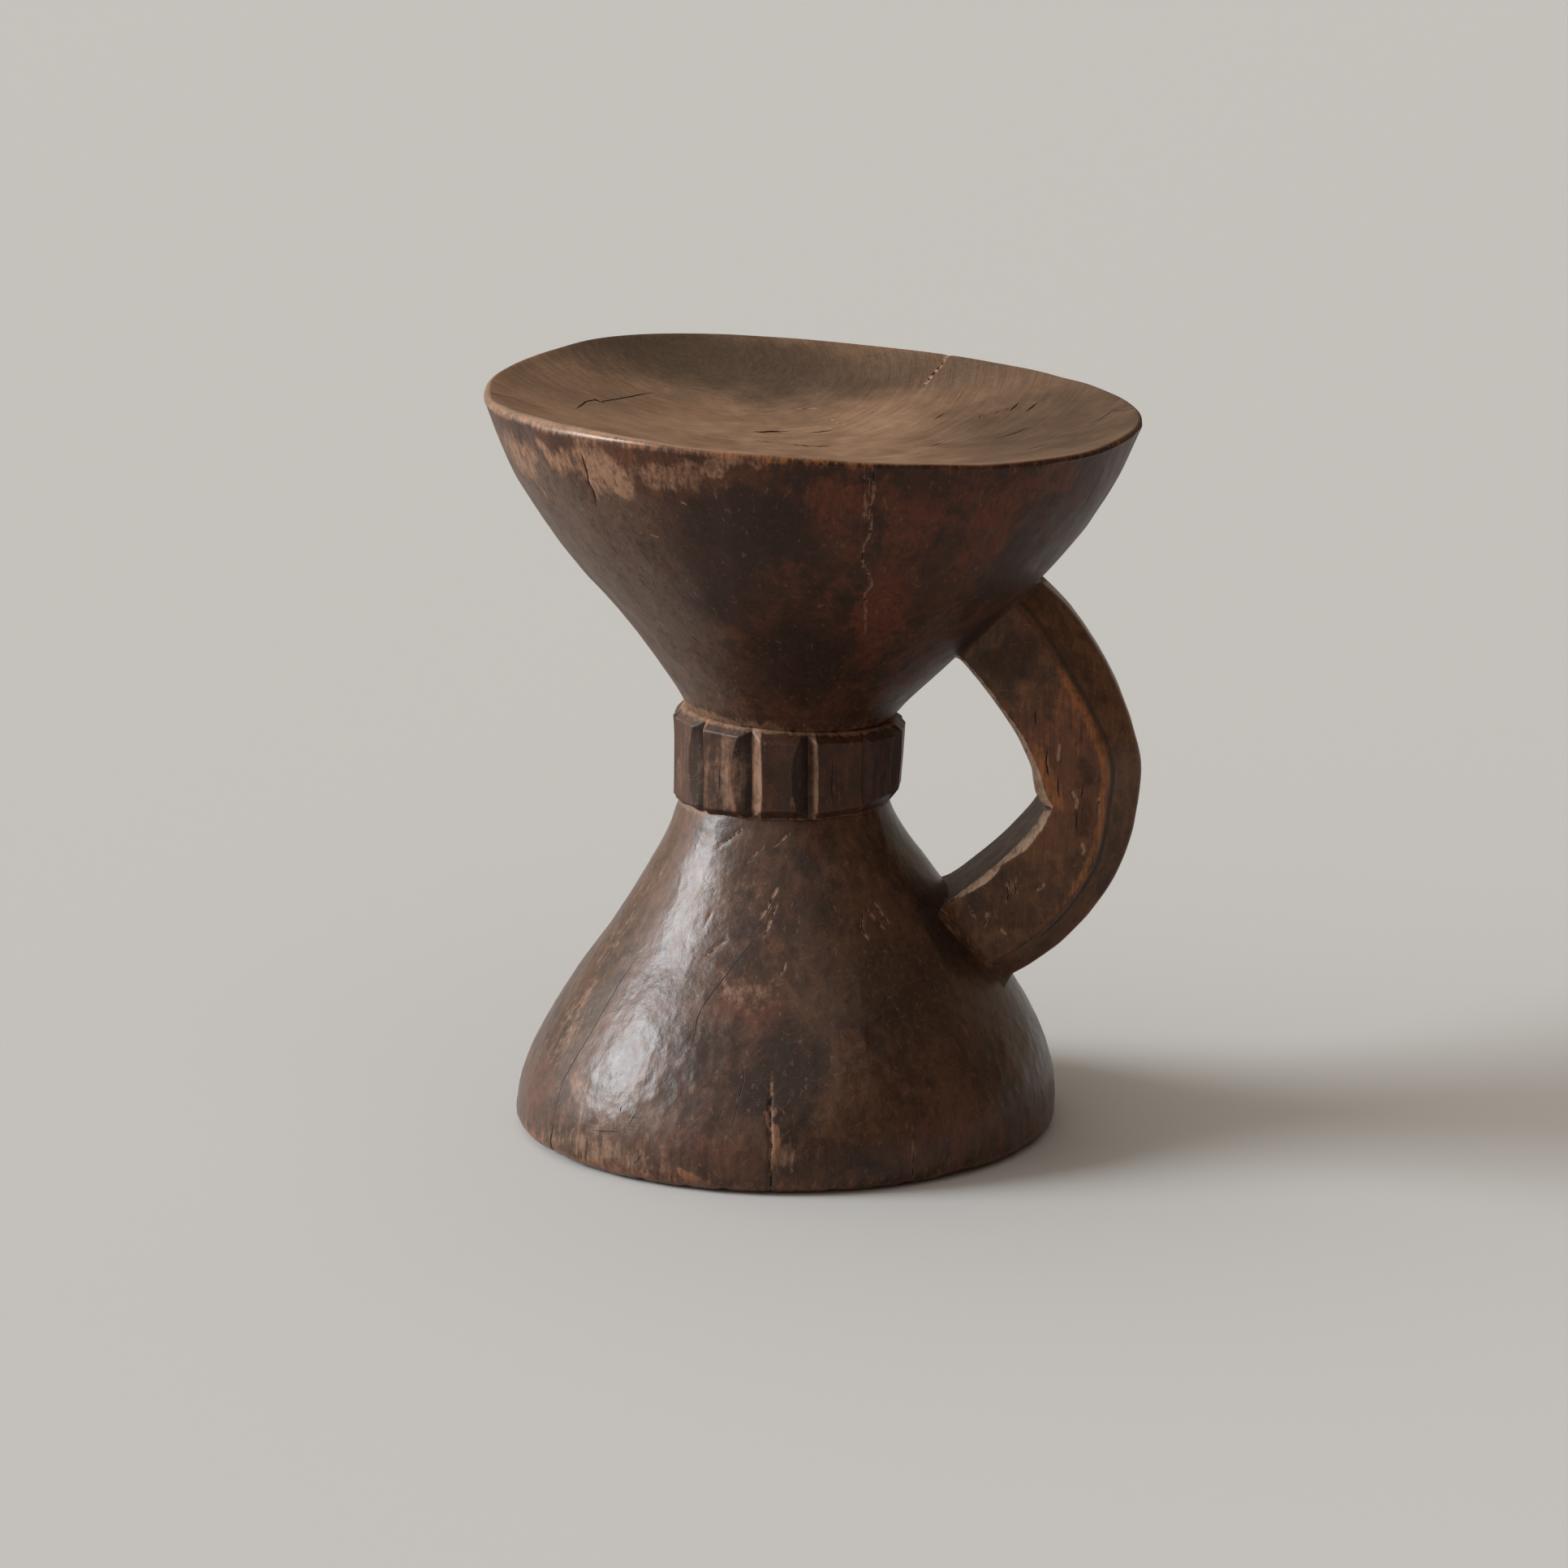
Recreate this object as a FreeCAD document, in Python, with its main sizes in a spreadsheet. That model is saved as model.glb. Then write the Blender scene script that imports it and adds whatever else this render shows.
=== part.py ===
import FreeCAD, Part
import math
import os

import Sketcher

# Carved stool: a leaning dished seat and a flared base meet at a notched collar.
# A bow handle at one side joins them.
# Millimetres. The origin is the centre of the underside, +Z is up and +X points to the handle.

SIZES = {
    # Base: a wall of two arcs from the floor to the neck under the collar. They meet at a bend, which lies
    # at its share of the way from neck to foot and of the height. The upper arc turns twice the cove angle.
    "base_foot_radius": 143.5,
    "base_bend_out_share": 0.5235,
    "base_bend_up_share": 0.531,
    "base_cove_angle": 4.1,
    "base_neck_radius": 54.3,
    "base_height": 169.5,
    "foot_edge_round": 7.0,
    # Spigot on the base, which carries the collar and enters the seat.
    "spigot_radius": 32.0,
    "spigot_entry": 40.0,
    "spigot_clearance": 0.2,
    # Collar: a band of planed blocks with a valley between each two.
    "collar_radius": 58.5,
    "collar_height": 46.5,
    "collar_edge_chamfer": 4.0,
    "block_count": 12,
    "valley_width": 15.0,
    "valley_depth": 5.0,
    "first_valley_angle": -80.0,
    # Seat: the neck on the collar and the rim, both shifted towards the handle. Each ring between them
    # lies at its share of the way out, up and across.
    "seat_neck_radius": 53.5,
    "seat_neck_shift": 3.5,
    "low_ring_out_share": 0.17,
    "low_ring_up_share": 0.1675,
    "low_ring_across_share": 0.5,
    "middle_ring_out_share": 0.5625,
    "middle_ring_up_share": 0.4777,
    "middle_ring_across_share": 0.864,
    "high_ring_out_share": 0.8795,
    "high_ring_up_share": 0.791,
    "high_ring_across_share": 0.955,
    "rim_radius": 165.5,
    "rim_rise": 161.2,
    "rim_shift": 14.5,
    "seat_tilt": 2.7,
    "rim_width": 9.0,
    "rim_round": 3.5,
    "dish_depth": 27.0,
    # Handle: heights are measured from the middle of the collar, reaches from the stool's axis.
    "handle_thickness": 56.0,
    "handle_reach": 181.2,
    "handle_outer_radius": 122.0,
    "handle_center_drop": 8.8,
    "handle_top_rise": 103.3,
    "handle_bottom_drop": 124.8,
    "elbow_reach": 131.0,
    "elbow_drop": 24.5,
    "upper_arm_radius": 170.0,
    "lower_arm_radius": 108.0,
    "hole_top_rise": 59.7,
    "hole_top_offset": 19.8,
    "hole_bottom_drop": 75.9,
    "hole_bottom_offset": 11.7,
    "outer_bevel": 17.0,
    "inner_bevel": 4.5,
}

SHEET = "Dimensions"
ON_PLANE = 1e-3
START, END, CENTER = 1, 2, 3
X_AXIS, ORIGIN = -1, -1

COLLAR_TOP = f"{SHEET}.base_height + {SHEET}.collar_height"
COLLAR_MIDDLE = f"{SHEET}.base_height + {SHEET}.collar_height / 2"
FOOT_PAST_NECK = f"({SHEET}.base_foot_radius - {SHEET}.base_neck_radius)"
BEND_RADIUS = f"({SHEET}.base_neck_radius + {SHEET}.base_bend_out_share * {FOOT_PAST_NECK})"
BEND_HEIGHT = f"({SHEET}.base_bend_up_share * {SHEET}.base_height)"


def size(name):
    return f"{SHEET}.{name}"


def add_sheet(doc):
    sheet = doc.addObject("Spreadsheet::Sheet", SHEET)
    for row, (name, value) in enumerate(SIZES.items(), start=1):
        sheet.set(f"A{row}", name)
        sheet.set(f"B{row}", str(value))
        sheet.setAlias(f"B{row}", name)
    doc.recompute()
    return sheet


def attach(item, body, role):
    plane = next(feature for feature in body.Origin.OriginFeatures if feature.Role == role)
    item.AttachmentSupport = [(plane, "")]
    item.MapMode = "FlatFace"


def place(item, shift="0", height="0", axis=(0, 0, 1), angle="0"):
    # Moves an attached item along X and Z and turns it about the axis through its own origin.
    item.AttachmentOffset = FreeCAD.Placement(
        FreeCAD.Vector(), FreeCAD.Rotation(FreeCAD.Vector(*axis), 1.0)
    )
    item.setExpression("AttachmentOffset.Base.x", shift)
    item.setExpression("AttachmentOffset.Base.z", height)
    item.setExpression("AttachmentOffset.Rotation.Angle", angle)


def add_sketch(body, name, role):
    sketch = body.newObject("Sketcher::SketchObject", name)
    attach(sketch, body, role)
    return sketch


def bind(sketch, name, constraint, expression):
    index = sketch.addConstraint(constraint)
    sketch.renameConstraint(index, name)
    sketch.setExpression(f"Constraints.{name}", expression)


def bind_x(sketch, name, geometry, point, value, expression):
    bind(sketch, name, Sketcher.Constraint("DistanceX", ORIGIN, START, geometry, point, value), expression)


def bind_y(sketch, name, geometry, point, value, expression):
    bind(sketch, name, Sketcher.Constraint("DistanceY", ORIGIN, START, geometry, point, value), expression)


def bind_radius(sketch, name, geometry, value, expression):
    bind(sketch, name, Sketcher.Constraint("Radius", geometry, value), expression)


def join(sketch, first, first_point, second, second_point):
    sketch.addConstraint(Sketcher.Constraint("Coincident", first, first_point, second, second_point))


def level(sketch, *lines):
    for line in lines:
        sketch.addConstraint(Sketcher.Constraint("Horizontal", line))


def upright(sketch, *lines):
    for line in lines:
        sketch.addConstraint(Sketcher.Constraint("Vertical", line))


def line(start, end):
    return Part.LineSegment(FreeCAD.Vector(*start, 0), FreeCAD.Vector(*end, 0))


def arc(start, end, center):
    # Runs counter-clockwise from start to end.
    radius = math.dist(start, center)
    circle = Part.Circle(FreeCAD.Vector(*center, 0), FreeCAD.Vector(0, 0, 1), radius)
    first = math.atan2(start[1] - center[1], start[0] - center[0])
    last = math.atan2(end[1] - center[1], end[0] - center[0])
    return Part.ArcOfCircle(circle, first, last)


def center_of_arc(start, end, radius):
    # Centre of the shorter counter-clockwise arc of the given radius.
    half = math.dist(start, end) / 2
    reach = math.sqrt(radius**2 - half**2)
    along = ((end[0] - start[0]) / (2 * half), (end[1] - start[1]) / (2 * half))
    middle = ((start[0] + end[0]) / 2, (start[1] + end[1]) / 2)
    return (middle[0] - along[1] * reach, middle[1] + along[0] * reach)


def center_from_tangent(point, other, lean):
    # Centre of the arc through both points whose wall leans by the given angle at the first one.
    angle = math.radians(lean)
    normal = (math.cos(angle), math.sin(angle))
    step = (other[0] - point[0], other[1] - point[1])
    along = (step[0] ** 2 + step[1] ** 2) / (2 * (step[0] * normal[0] + step[1] * normal[1]))
    return (point[0] + normal[0] * along, point[1] + normal[1] * along)


def edges_where(shape, test):
    numbered = enumerate(shape.Edges, start=1)
    return [f"Edge{number}" for number, edge in numbered if not edge.Degenerated and test(edge)]


def lies_on(edge, point, normal):
    # True where the whole edge lies on the plane through the point.
    return all(abs((sample - point).dot(normal)) < ON_PLANE for sample in edge.discretize(5))


def edge_finish(body, kind, name, base, test, prop, expression):
    # Rounds or bevels the edges of the base feature that pass the test.
    body.Document.recompute()
    finish = body.newObject(kind, name)
    finish.Base = (base, edges_where(base.Shape, test))
    finish.setExpression(prop, expression)
    return finish


def make_base(doc, sheet):
    body = doc.addObject("PartDesign::Body", "BaseBlank")
    sketch = add_sketch(body, "BaseProfile", "XZ_Plane")
    foot = (sheet.base_foot_radius, 0)
    neck = (sheet.base_neck_radius, sheet.base_height)
    bend = (neck[0] + sheet.base_bend_out_share * (foot[0] - neck[0]), sheet.base_bend_up_share * neck[1])
    lean = math.degrees(math.atan2(bend[0] - neck[0], neck[1] - bend[1])) + sheet.base_cove_angle
    spigot_top = sheet.base_height + sheet.collar_height + sheet.spigot_entry
    underside, wall, cove, shoulder, spigot, top, axis = range(7)
    sketch.addGeometry(
        [
            line((0, 0), foot),
            arc(foot, bend, center_from_tangent(bend, foot, lean)),
            arc(neck, bend, center_from_tangent(bend, neck, lean)),
            line(neck, (sheet.spigot_radius, sheet.base_height)),
            line((sheet.spigot_radius, sheet.base_height), (sheet.spigot_radius, spigot_top)),
            line((sheet.spigot_radius, spigot_top), (0, spigot_top)),
            line((0, spigot_top), (0, 0)),
        ],
        False,
    )
    join(sketch, underside, START, ORIGIN, START)
    join(sketch, underside, END, wall, START)
    join(sketch, cove, START, shoulder, START)
    join(sketch, shoulder, END, spigot, START)
    join(sketch, spigot, END, top, START)
    join(sketch, top, END, axis, START)
    join(sketch, axis, END, underside, START)
    level(sketch, underside, shoulder, top)
    upright(sketch, spigot, axis)
    # The two arcs of the wall share a tangent where the bend turns from full to hollow.
    sketch.addConstraint(Sketcher.Constraint("Tangent", wall, END, cove, END))
    bind_x(sketch, "FootRadius", underside, END, foot[0], size("base_foot_radius"))
    bind_x(sketch, "BendRadius", wall, END, bend[0], BEND_RADIUS)
    bind_y(sketch, "BendHeight", wall, END, bend[1], BEND_HEIGHT)
    bind_x(sketch, "NeckRadius", cove, START, neck[0], size("base_neck_radius"))
    bind_y(sketch, "BaseHeight", cove, START, neck[1], size("base_height"))
    bind_x(sketch, "SpigotRadius", spigot, END, sheet.spigot_radius, size("spigot_radius"))
    bind_y(sketch, "SpigotTop", spigot, END, spigot_top, f"{COLLAR_TOP} + {size('spigot_entry')}")
    wall_center = center_from_tangent(bend, foot, lean)
    bind_radius(
        sketch,
        "WallRadius",
        wall,
        math.dist(foot, wall_center),
        wall_radius_expression(),
    )
    turned = body.newObject("PartDesign::Revolution", "BaseTurned")
    turned.Profile = sketch
    turned.ReferenceAxis = (sketch, ["V_Axis"])
    turned.Angle = 360
    edge_finish(
        body,
        "PartDesign::Fillet",
        "FootEdge",
        turned,
        lambda edge: lies_on(edge, FreeCAD.Vector(), FreeCAD.Vector(0, 0, 1)),
        "Radius",
        size("foot_edge_round"),
    )
    return body


def wall_radius_expression():
    # Chord squared over twice its reach along the normal of the wall at the bend.
    across = f"({size('base_foot_radius')} - {BEND_RADIUS})"
    cove_slope = f"({BEND_RADIUS} - {size('base_neck_radius')}) / ({size('base_height')} - {BEND_HEIGHT})"
    lean = f"(atan({cove_slope}) + {size('base_cove_angle')} * 1 deg)"
    reach = f"({BEND_HEIGHT} * sin({lean}) - {across} * cos({lean}))"
    return f"({across}^2 + {BEND_HEIGHT}^2) / (2 * {reach})"


def make_collar(doc, sheet):
    body = doc.addObject("PartDesign::Body", "WaistCollar")
    ring = add_sketch(body, "CollarRing", "XY_Plane")
    place(ring, height=size("base_height"))
    bore_radius = sheet.spigot_radius + sheet.spigot_clearance
    for radius in (sheet.collar_radius, bore_radius):
        circle = ring.addGeometry(Part.Circle(FreeCAD.Vector(), FreeCAD.Vector(0, 0, 1), radius), False)
        join(ring, circle, CENTER, ORIGIN, START)
    bind_radius(ring, "CollarRadius", 0, sheet.collar_radius, size("collar_radius"))
    bore = f"{size('spigot_radius')} + {size('spigot_clearance')}"
    bind_radius(ring, "BoreRadius", 1, bore_radius, bore)
    band = body.newObject("PartDesign::Pad", "CollarBand")
    band.Profile = ring
    band.setExpression("Length", size("collar_height"))
    bevelled = edge_finish(
        body,
        "PartDesign::Chamfer",
        "CollarEdges",
        band,
        lambda edge: is_circle(edge, sheet.collar_radius),
        "Size",
        size("collar_edge_chamfer"),
    )
    valley = add_sketch(body, "Valley", "XY_Plane")
    place(valley, height=COLLAR_TOP, angle=size("first_valley_angle"))
    inside = sheet.collar_radius - sheet.valley_depth
    outside = sheet.collar_radius + sheet.valley_depth
    half = sheet.valley_width
    corners = [(inside, 0), (outside, -half), (outside, half)]
    for number, corner in enumerate(corners):
        valley.addGeometry(line(corner, corners[(number + 1) % 3]), False)
    for number in range(3):
        join(valley, number, END, (number + 1) % 3, START)
    valley.addConstraint(Sketcher.Constraint("PointOnObject", 0, START, X_AXIS))
    valley.addConstraint(Sketcher.Constraint("Symmetric", 1, START, 1, END, X_AXIS))
    bind_x(valley, "ValleyFloor", 0, START, inside, f"{size('collar_radius')} - {size('valley_depth')}")
    bind_x(valley, "ValleyMouth", 1, START, outside, f"{size('collar_radius')} + {size('valley_depth')}")
    opening = Sketcher.Constraint("DistanceY", 1, START, 1, END, 2 * half)
    bind(valley, "ValleyWidth", opening, f"2 * {size('valley_width')}")
    doc.recompute()
    cut = body.newObject("PartDesign::Pocket", "ValleyCut")
    cut.Profile = valley
    cut.setExpression("Length", size("collar_height"))
    doc.recompute()
    if cut.Shape.Volume > bevelled.Shape.Volume - ON_PLANE:
        raise RuntimeError("the valley cuts nothing from the collar")
    ring_of_valleys = body.newObject("PartDesign::PolarPattern", "Valleys")
    ring_of_valleys.Originals = [cut]
    ring_of_valleys.Axis = (valley, ["N_Axis"])
    ring_of_valleys.Angle = 360
    ring_of_valleys.setExpression("Occurrences", size("block_count"))
    body.Tip = ring_of_valleys
    return body


def is_circle(edge, radius):
    return isinstance(edge.Curve, Part.Circle) and abs(edge.Curve.Radius - radius) < ON_PLANE


def make_seat(doc, sheet):
    body = doc.addObject("PartDesign::Body", "SeatBlank")
    rings = [add_seat_ring(body, sheet, "SeatNeck", "0", "0", "0")]
    for name in ("low", "middle", "high"):
        shares = [size(f"{name}_ring_{way}_share") for way in ("out", "up", "across")]
        rings.append(add_seat_ring(body, sheet, f"{name.title()}Ring", *shares))
    rings.append(add_seat_ring(body, sheet, "Rim", "1", "1", "1"))
    doc.recompute()
    flare = body.newObject("PartDesign::AdditiveLoft", "SeatFlare")
    flare.Profile = rings[0]
    flare.Sections = rings[1:]
    flare.Ruled = False

    # The hollow is part of a sphere whose lowest point lies under the middle of the tilted rim.
    mouth = f"({size('rim_radius')} - {size('rim_width')})"
    depth = size("dish_depth")
    sphere_radius = f"({mouth}^2 + {depth}^2) / (2 * {depth})"
    lift = f"({sphere_radius} - {depth})"
    tilt = f"({size('seat_tilt')} * 1 deg)"
    dish = body.newObject("PartDesign::SubtractiveSphere", "Dish")
    attach(dish, body, "XY_Plane")
    place(
        dish,
        shift=f"{size('rim_shift')} + {lift} * sin({tilt})",
        height=f"{COLLAR_TOP} + {size('rim_rise')} + {lift} * cos({tilt})",
    )
    dish.setExpression("Radius", sphere_radius)

    tilt_angle = math.radians(sheet.seat_tilt)
    rim_height = sheet.base_height + sheet.collar_height + sheet.rim_rise
    rim_center = FreeCAD.Vector(sheet.rim_shift, 0, rim_height)
    rim_normal = FreeCAD.Vector(math.sin(tilt_angle), 0, math.cos(tilt_angle))
    edge_finish(
        body,
        "PartDesign::Fillet",
        "RimEdges",
        dish,
        lambda edge: lies_on(edge, rim_center, rim_normal),
        "Radius",
        size("rim_round"),
    )
    socket = body.newObject("PartDesign::SubtractiveCylinder", "SpigotSocket")
    attach(socket, body, "XY_Plane")
    place(socket, height=COLLAR_TOP)
    socket.setExpression("Radius", f"{size('spigot_radius')} + {size('spigot_clearance')}")
    socket.setExpression("Height", f"{size('spigot_entry')} + {size('spigot_clearance')}")
    return body


def add_seat_ring(body, sheet, name, out, up, across):
    # One ring of the flare, at its shares of the way from neck to rim. The tilt grows with its height.
    ring = add_sketch(body, name, "XY_Plane")
    neck, neck_shift = size("seat_neck_radius"), size("seat_neck_shift")
    radius = f"{neck} + {out} * ({size('rim_radius')} - {neck})"
    shift = f"{neck_shift} + {across} * ({size('rim_shift')} - {neck_shift})"
    height = f"{COLLAR_TOP} + {up} * {size('rim_rise')}"
    circle = Part.Circle(FreeCAD.Vector(), FreeCAD.Vector(0, 0, 1), sheet.rim_radius)
    ring.addGeometry(circle, False)
    join(ring, 0, CENTER, ORIGIN, START)
    bind_radius(ring, "RingRadius", 0, sheet.rim_radius, radius)
    place(ring, shift, height, (0, 1, 0), f"{up} * {size('seat_tilt')}")
    return ring


def make_handle(doc, sheet):
    body = doc.addObject("PartDesign::Body", "Handle")
    sketch = add_sketch(body, "HandleOutline", "XZ_Plane")
    middle = sheet.base_height + sheet.collar_height / 2
    outer_radius = sheet.handle_outer_radius
    center = (sheet.handle_reach - outer_radius, middle - sheet.handle_center_drop)
    top = middle + sheet.handle_top_rise
    bottom = middle - sheet.handle_bottom_drop
    outer_top = (center[0] + math.sqrt(outer_radius**2 - (top - center[1]) ** 2), top)
    outer_bottom = (center[0] + math.sqrt(outer_radius**2 - (bottom - center[1]) ** 2), bottom)
    hole_top = (sheet.seat_neck_radius + sheet.hole_top_offset, middle + sheet.hole_top_rise)
    hole_bottom = (sheet.base_neck_radius + sheet.hole_bottom_offset, middle - sheet.hole_bottom_drop)
    elbow = (sheet.elbow_reach, middle - sheet.elbow_drop)
    seat_end = sheet.seat_neck_radius
    base_end = sheet.base_neck_radius
    bow, seat_top, seat_face, seat_under, upper, lower, base_top, base_face, base_under = range(9)
    sketch.addGeometry(
        [
            arc(outer_bottom, outer_top, center),
            line(outer_top, (seat_end, top)),
            line((seat_end, top), (seat_end, hole_top[1])),
            line((seat_end, hole_top[1]), hole_top),
            arc(elbow, hole_top, center_of_arc(elbow, hole_top, sheet.upper_arm_radius)),
            arc(hole_bottom, elbow, center_of_arc(hole_bottom, elbow, sheet.lower_arm_radius)),
            line(hole_bottom, (base_end, hole_bottom[1])),
            line((base_end, hole_bottom[1]), (base_end, bottom)),
            line((base_end, bottom), outer_bottom),
        ],
        False,
    )
    join(sketch, bow, END, seat_top, START)
    join(sketch, seat_top, END, seat_face, START)
    join(sketch, seat_face, END, seat_under, START)
    join(sketch, seat_under, END, upper, END)
    join(sketch, upper, START, lower, END)
    join(sketch, lower, START, base_top, START)
    join(sketch, base_top, END, base_face, START)
    join(sketch, base_face, END, base_under, START)
    join(sketch, base_under, END, bow, START)
    level(sketch, seat_top, seat_under, base_top, base_under)
    upright(sketch, seat_face, base_face)
    reach = f"{size('handle_reach')} - {size('handle_outer_radius')}"
    bind_radius(sketch, "OuterRadius", bow, outer_radius, size("handle_outer_radius"))
    bind_x(sketch, "BowCenterX", bow, CENTER, center[0], reach)
    bind_y(sketch, "BowCenterZ", bow, CENTER, center[1], f"{COLLAR_MIDDLE} - {size('handle_center_drop')}")
    bind_y(sketch, "Top", bow, END, top, f"{COLLAR_MIDDLE} + {size('handle_top_rise')}")
    bind_y(sketch, "Bottom", bow, START, bottom, f"{COLLAR_MIDDLE} - {size('handle_bottom_drop')}")
    # Both tenons run in as far as the necks, so they stay in the flares when those change.
    bind_x(sketch, "SeatEnd", seat_face, START, seat_end, size("seat_neck_radius"))
    bind_x(sketch, "BaseEnd", base_face, START, base_end, size("base_neck_radius"))
    hole_top_reach = f"{size('seat_neck_radius')} + {size('hole_top_offset')}"
    hole_bottom_reach = f"{size('base_neck_radius')} + {size('hole_bottom_offset')}"
    bind_x(sketch, "HoleTopX", upper, END, hole_top[0], hole_top_reach)
    bind_y(sketch, "HoleTopZ", upper, END, hole_top[1], f"{COLLAR_MIDDLE} + {size('hole_top_rise')}")
    bind_x(sketch, "HoleBottomX", lower, START, hole_bottom[0], hole_bottom_reach)
    hole_bottom_height = f"{COLLAR_MIDDLE} - {size('hole_bottom_drop')}"
    bind_y(sketch, "HoleBottomZ", lower, START, hole_bottom[1], hole_bottom_height)
    bind_x(sketch, "ElbowX", upper, START, elbow[0], size("elbow_reach"))
    bind_y(sketch, "ElbowZ", upper, START, elbow[1], f"{COLLAR_MIDDLE} - {size('elbow_drop')}")
    bind_radius(sketch, "UpperArm", upper, sheet.upper_arm_radius, size("upper_arm_radius"))
    bind_radius(sketch, "LowerArm", lower, sheet.lower_arm_radius, size("lower_arm_radius"))
    pad = body.newObject("PartDesign::Pad", "HandleBow")
    pad.Profile = sketch
    pad.SideType = "Symmetric"
    pad.setExpression("Length", size("handle_thickness"))
    bevelled = edge_finish(
        body,
        "PartDesign::Chamfer",
        "OuterBevel",
        pad,
        lambda edge: is_circle(edge, outer_radius),
        "Size",
        size("outer_bevel"),
    )
    edge_finish(
        body,
        "PartDesign::Chamfer",
        "InnerBevel",
        bevelled,
        lambda edge: is_circle(edge, sheet.upper_arm_radius) or is_circle(edge, sheet.lower_arm_radius),
        "Size",
        size("inner_bevel"),
    )
    return body


def housed(doc, name, blank, tenon):
    # The blank with a housing that the tenon fills.
    piece = doc.addObject("Part::Cut", name)
    piece.Base = blank
    piece.Tool = tenon
    return piece


def check(doc, pieces):
    for item in doc.Objects:
        if "Invalid" in item.State or "Error" in item.State:
            raise RuntimeError(f"{item.Name} failed: {item.State}")
    for node, piece in pieces.items():
        if piece.Shape.isNull() or not piece.Shape.isValid():
            raise RuntimeError(f"{node} has no valid shape")
        if len(piece.Shape.Solids) != 1:
            raise RuntimeError(f"{node} is {len(piece.Shape.Solids)} solids, not one")


def main():
    doc = FreeCAD.newDocument("CarvedStool")
    sheet = add_sheet(doc)
    handle = make_handle(doc, sheet)
    pieces = {
        "seat_bowl": housed(doc, "SeatBowl", make_seat(doc, sheet), handle),
        "waist_collar": make_collar(doc, sheet),
        "base_flare": housed(doc, "BaseFlare", make_base(doc, sheet), handle),
        "handle": handle,
    }
    for node, piece in pieces.items():
        piece.Label = node
    doc.recompute()
    check(doc, pieces)
    os.makedirs("parts", exist_ok=True)
    for piece in pieces.values():
        piece.Shape.exportStep(f"parts/{piece.Label}.step")
        box = piece.Shape.BoundBox
        print(
            f"{piece.Label}: {piece.Shape.Volume / 1000:.1f} cm3,"
            f" x {box.XMin:.1f} to {box.XMax:.1f}, y {box.YMin:.1f} to {box.YMax:.1f},"
            f" z {box.ZMin:.1f} to {box.ZMax:.1f}"
        )


main()
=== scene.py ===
from functools import partial

import bpy
import numpy as np
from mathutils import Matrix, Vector


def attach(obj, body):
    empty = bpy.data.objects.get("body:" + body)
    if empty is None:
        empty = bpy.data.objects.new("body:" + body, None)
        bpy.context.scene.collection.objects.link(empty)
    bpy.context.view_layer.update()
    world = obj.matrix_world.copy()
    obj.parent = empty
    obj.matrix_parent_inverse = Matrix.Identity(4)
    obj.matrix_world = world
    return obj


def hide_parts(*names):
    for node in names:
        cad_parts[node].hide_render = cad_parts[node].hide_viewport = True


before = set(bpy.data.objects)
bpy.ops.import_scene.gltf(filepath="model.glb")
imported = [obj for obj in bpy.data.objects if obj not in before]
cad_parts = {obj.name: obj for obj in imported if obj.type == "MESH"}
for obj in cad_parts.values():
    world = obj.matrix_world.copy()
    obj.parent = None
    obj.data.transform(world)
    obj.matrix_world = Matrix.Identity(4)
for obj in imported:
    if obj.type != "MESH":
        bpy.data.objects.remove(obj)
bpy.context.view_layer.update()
print("frame loaded:", ", ".join(sorted(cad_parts)))

# Shapes are worked out in millimetres.
# Angles round the stool start at the front, -Y, and grow towards the handle, +X.
toMetres = 0.001


# Curves, noise and patches

def ease(low, high, x):
    # Smooth step: 0 at low, 1 at high, 3t^2 - 2t^3 between.
    t = np.clip((x - low) / (high - low), 0, 1)
    return t * t * (3 - 2 * t)


def plateau(x, start, full, fade, end):
    # 1 from full to fade, easing up from 0 at start and down to 0 at end.
    return ease(start, full, x) * ease(end, fade, x)


def bell(x, middle, spread):
    # Bell curve: e to the power of minus the squared distance from the middle, in spreads.
    return np.exp(-(((x - middle) / spread) ** 2))


def between(low, high, share):
    # Straight mix: low where the share is 0, high where it is 1.
    return low + (high - low) * share


def curveThrough(x, knots, values):
    # Smooth curve through the knots: cubic pieces that share the mean slope of the chords at each knot.
    knots, values = np.asarray(knots, float), np.asarray(values, float)
    slopes = np.gradient(values, knots)
    i = np.clip(np.searchsorted(knots, x) - 1, 0, len(knots) - 2)
    gap = knots[i + 1] - knots[i]
    t = np.clip((x - knots[i]) / gap, 0, 1)
    rise = (1 + 2 * t) * (1 - t) ** 2 * values[i] + t * t * (3 - 2 * t) * values[i + 1]
    return rise + gap * t * (1 - t) * ((1 - t) * slopes[i] - t * slopes[i + 1])


def brokenCurve(x, lower, upper):
    # Two smooth curves that meet in a corner, at the first knot of the upper one.
    return np.where(x < upper[0][0], curveThrough(x, *lower), curveThrough(x, *upper))


def cellNumbers(cells, seed):
    # One fixed number from 0 to 1 for each cell of a lattice: large odd numbers mix its place and the seed.
    mixed = cells[..., 0] * 73856093 ^ cells[..., 1] * 19349663 ^ cells[..., 2] * 83492791 ^ seed * 40503
    mixed = (mixed & 0x7FFFFFFF) * 1274126177
    return ((mixed ^ (mixed >> 15)) & 0xFFFF) / 65535.0


def softNoise(points, cell, seed):
    # Value noise from -1 to 1: the cell numbers at the eight corners, blended with a fifth-order ease.
    scaled = points / np.asarray(cell, float)
    low = np.floor(scaled).astype(np.int64)
    f = scaled - low
    f = f**3 * (f * (f * 6 - 15) + 10)
    total = np.zeros(points.shape[:-1])
    for corner in np.ndindex(2, 2, 2):
        weight = np.prod(np.where(corner, f, 1 - f), axis=-1)
        total += weight * cellNumbers(low + np.array(corner), seed)
    return 2 * total - 1


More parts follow.
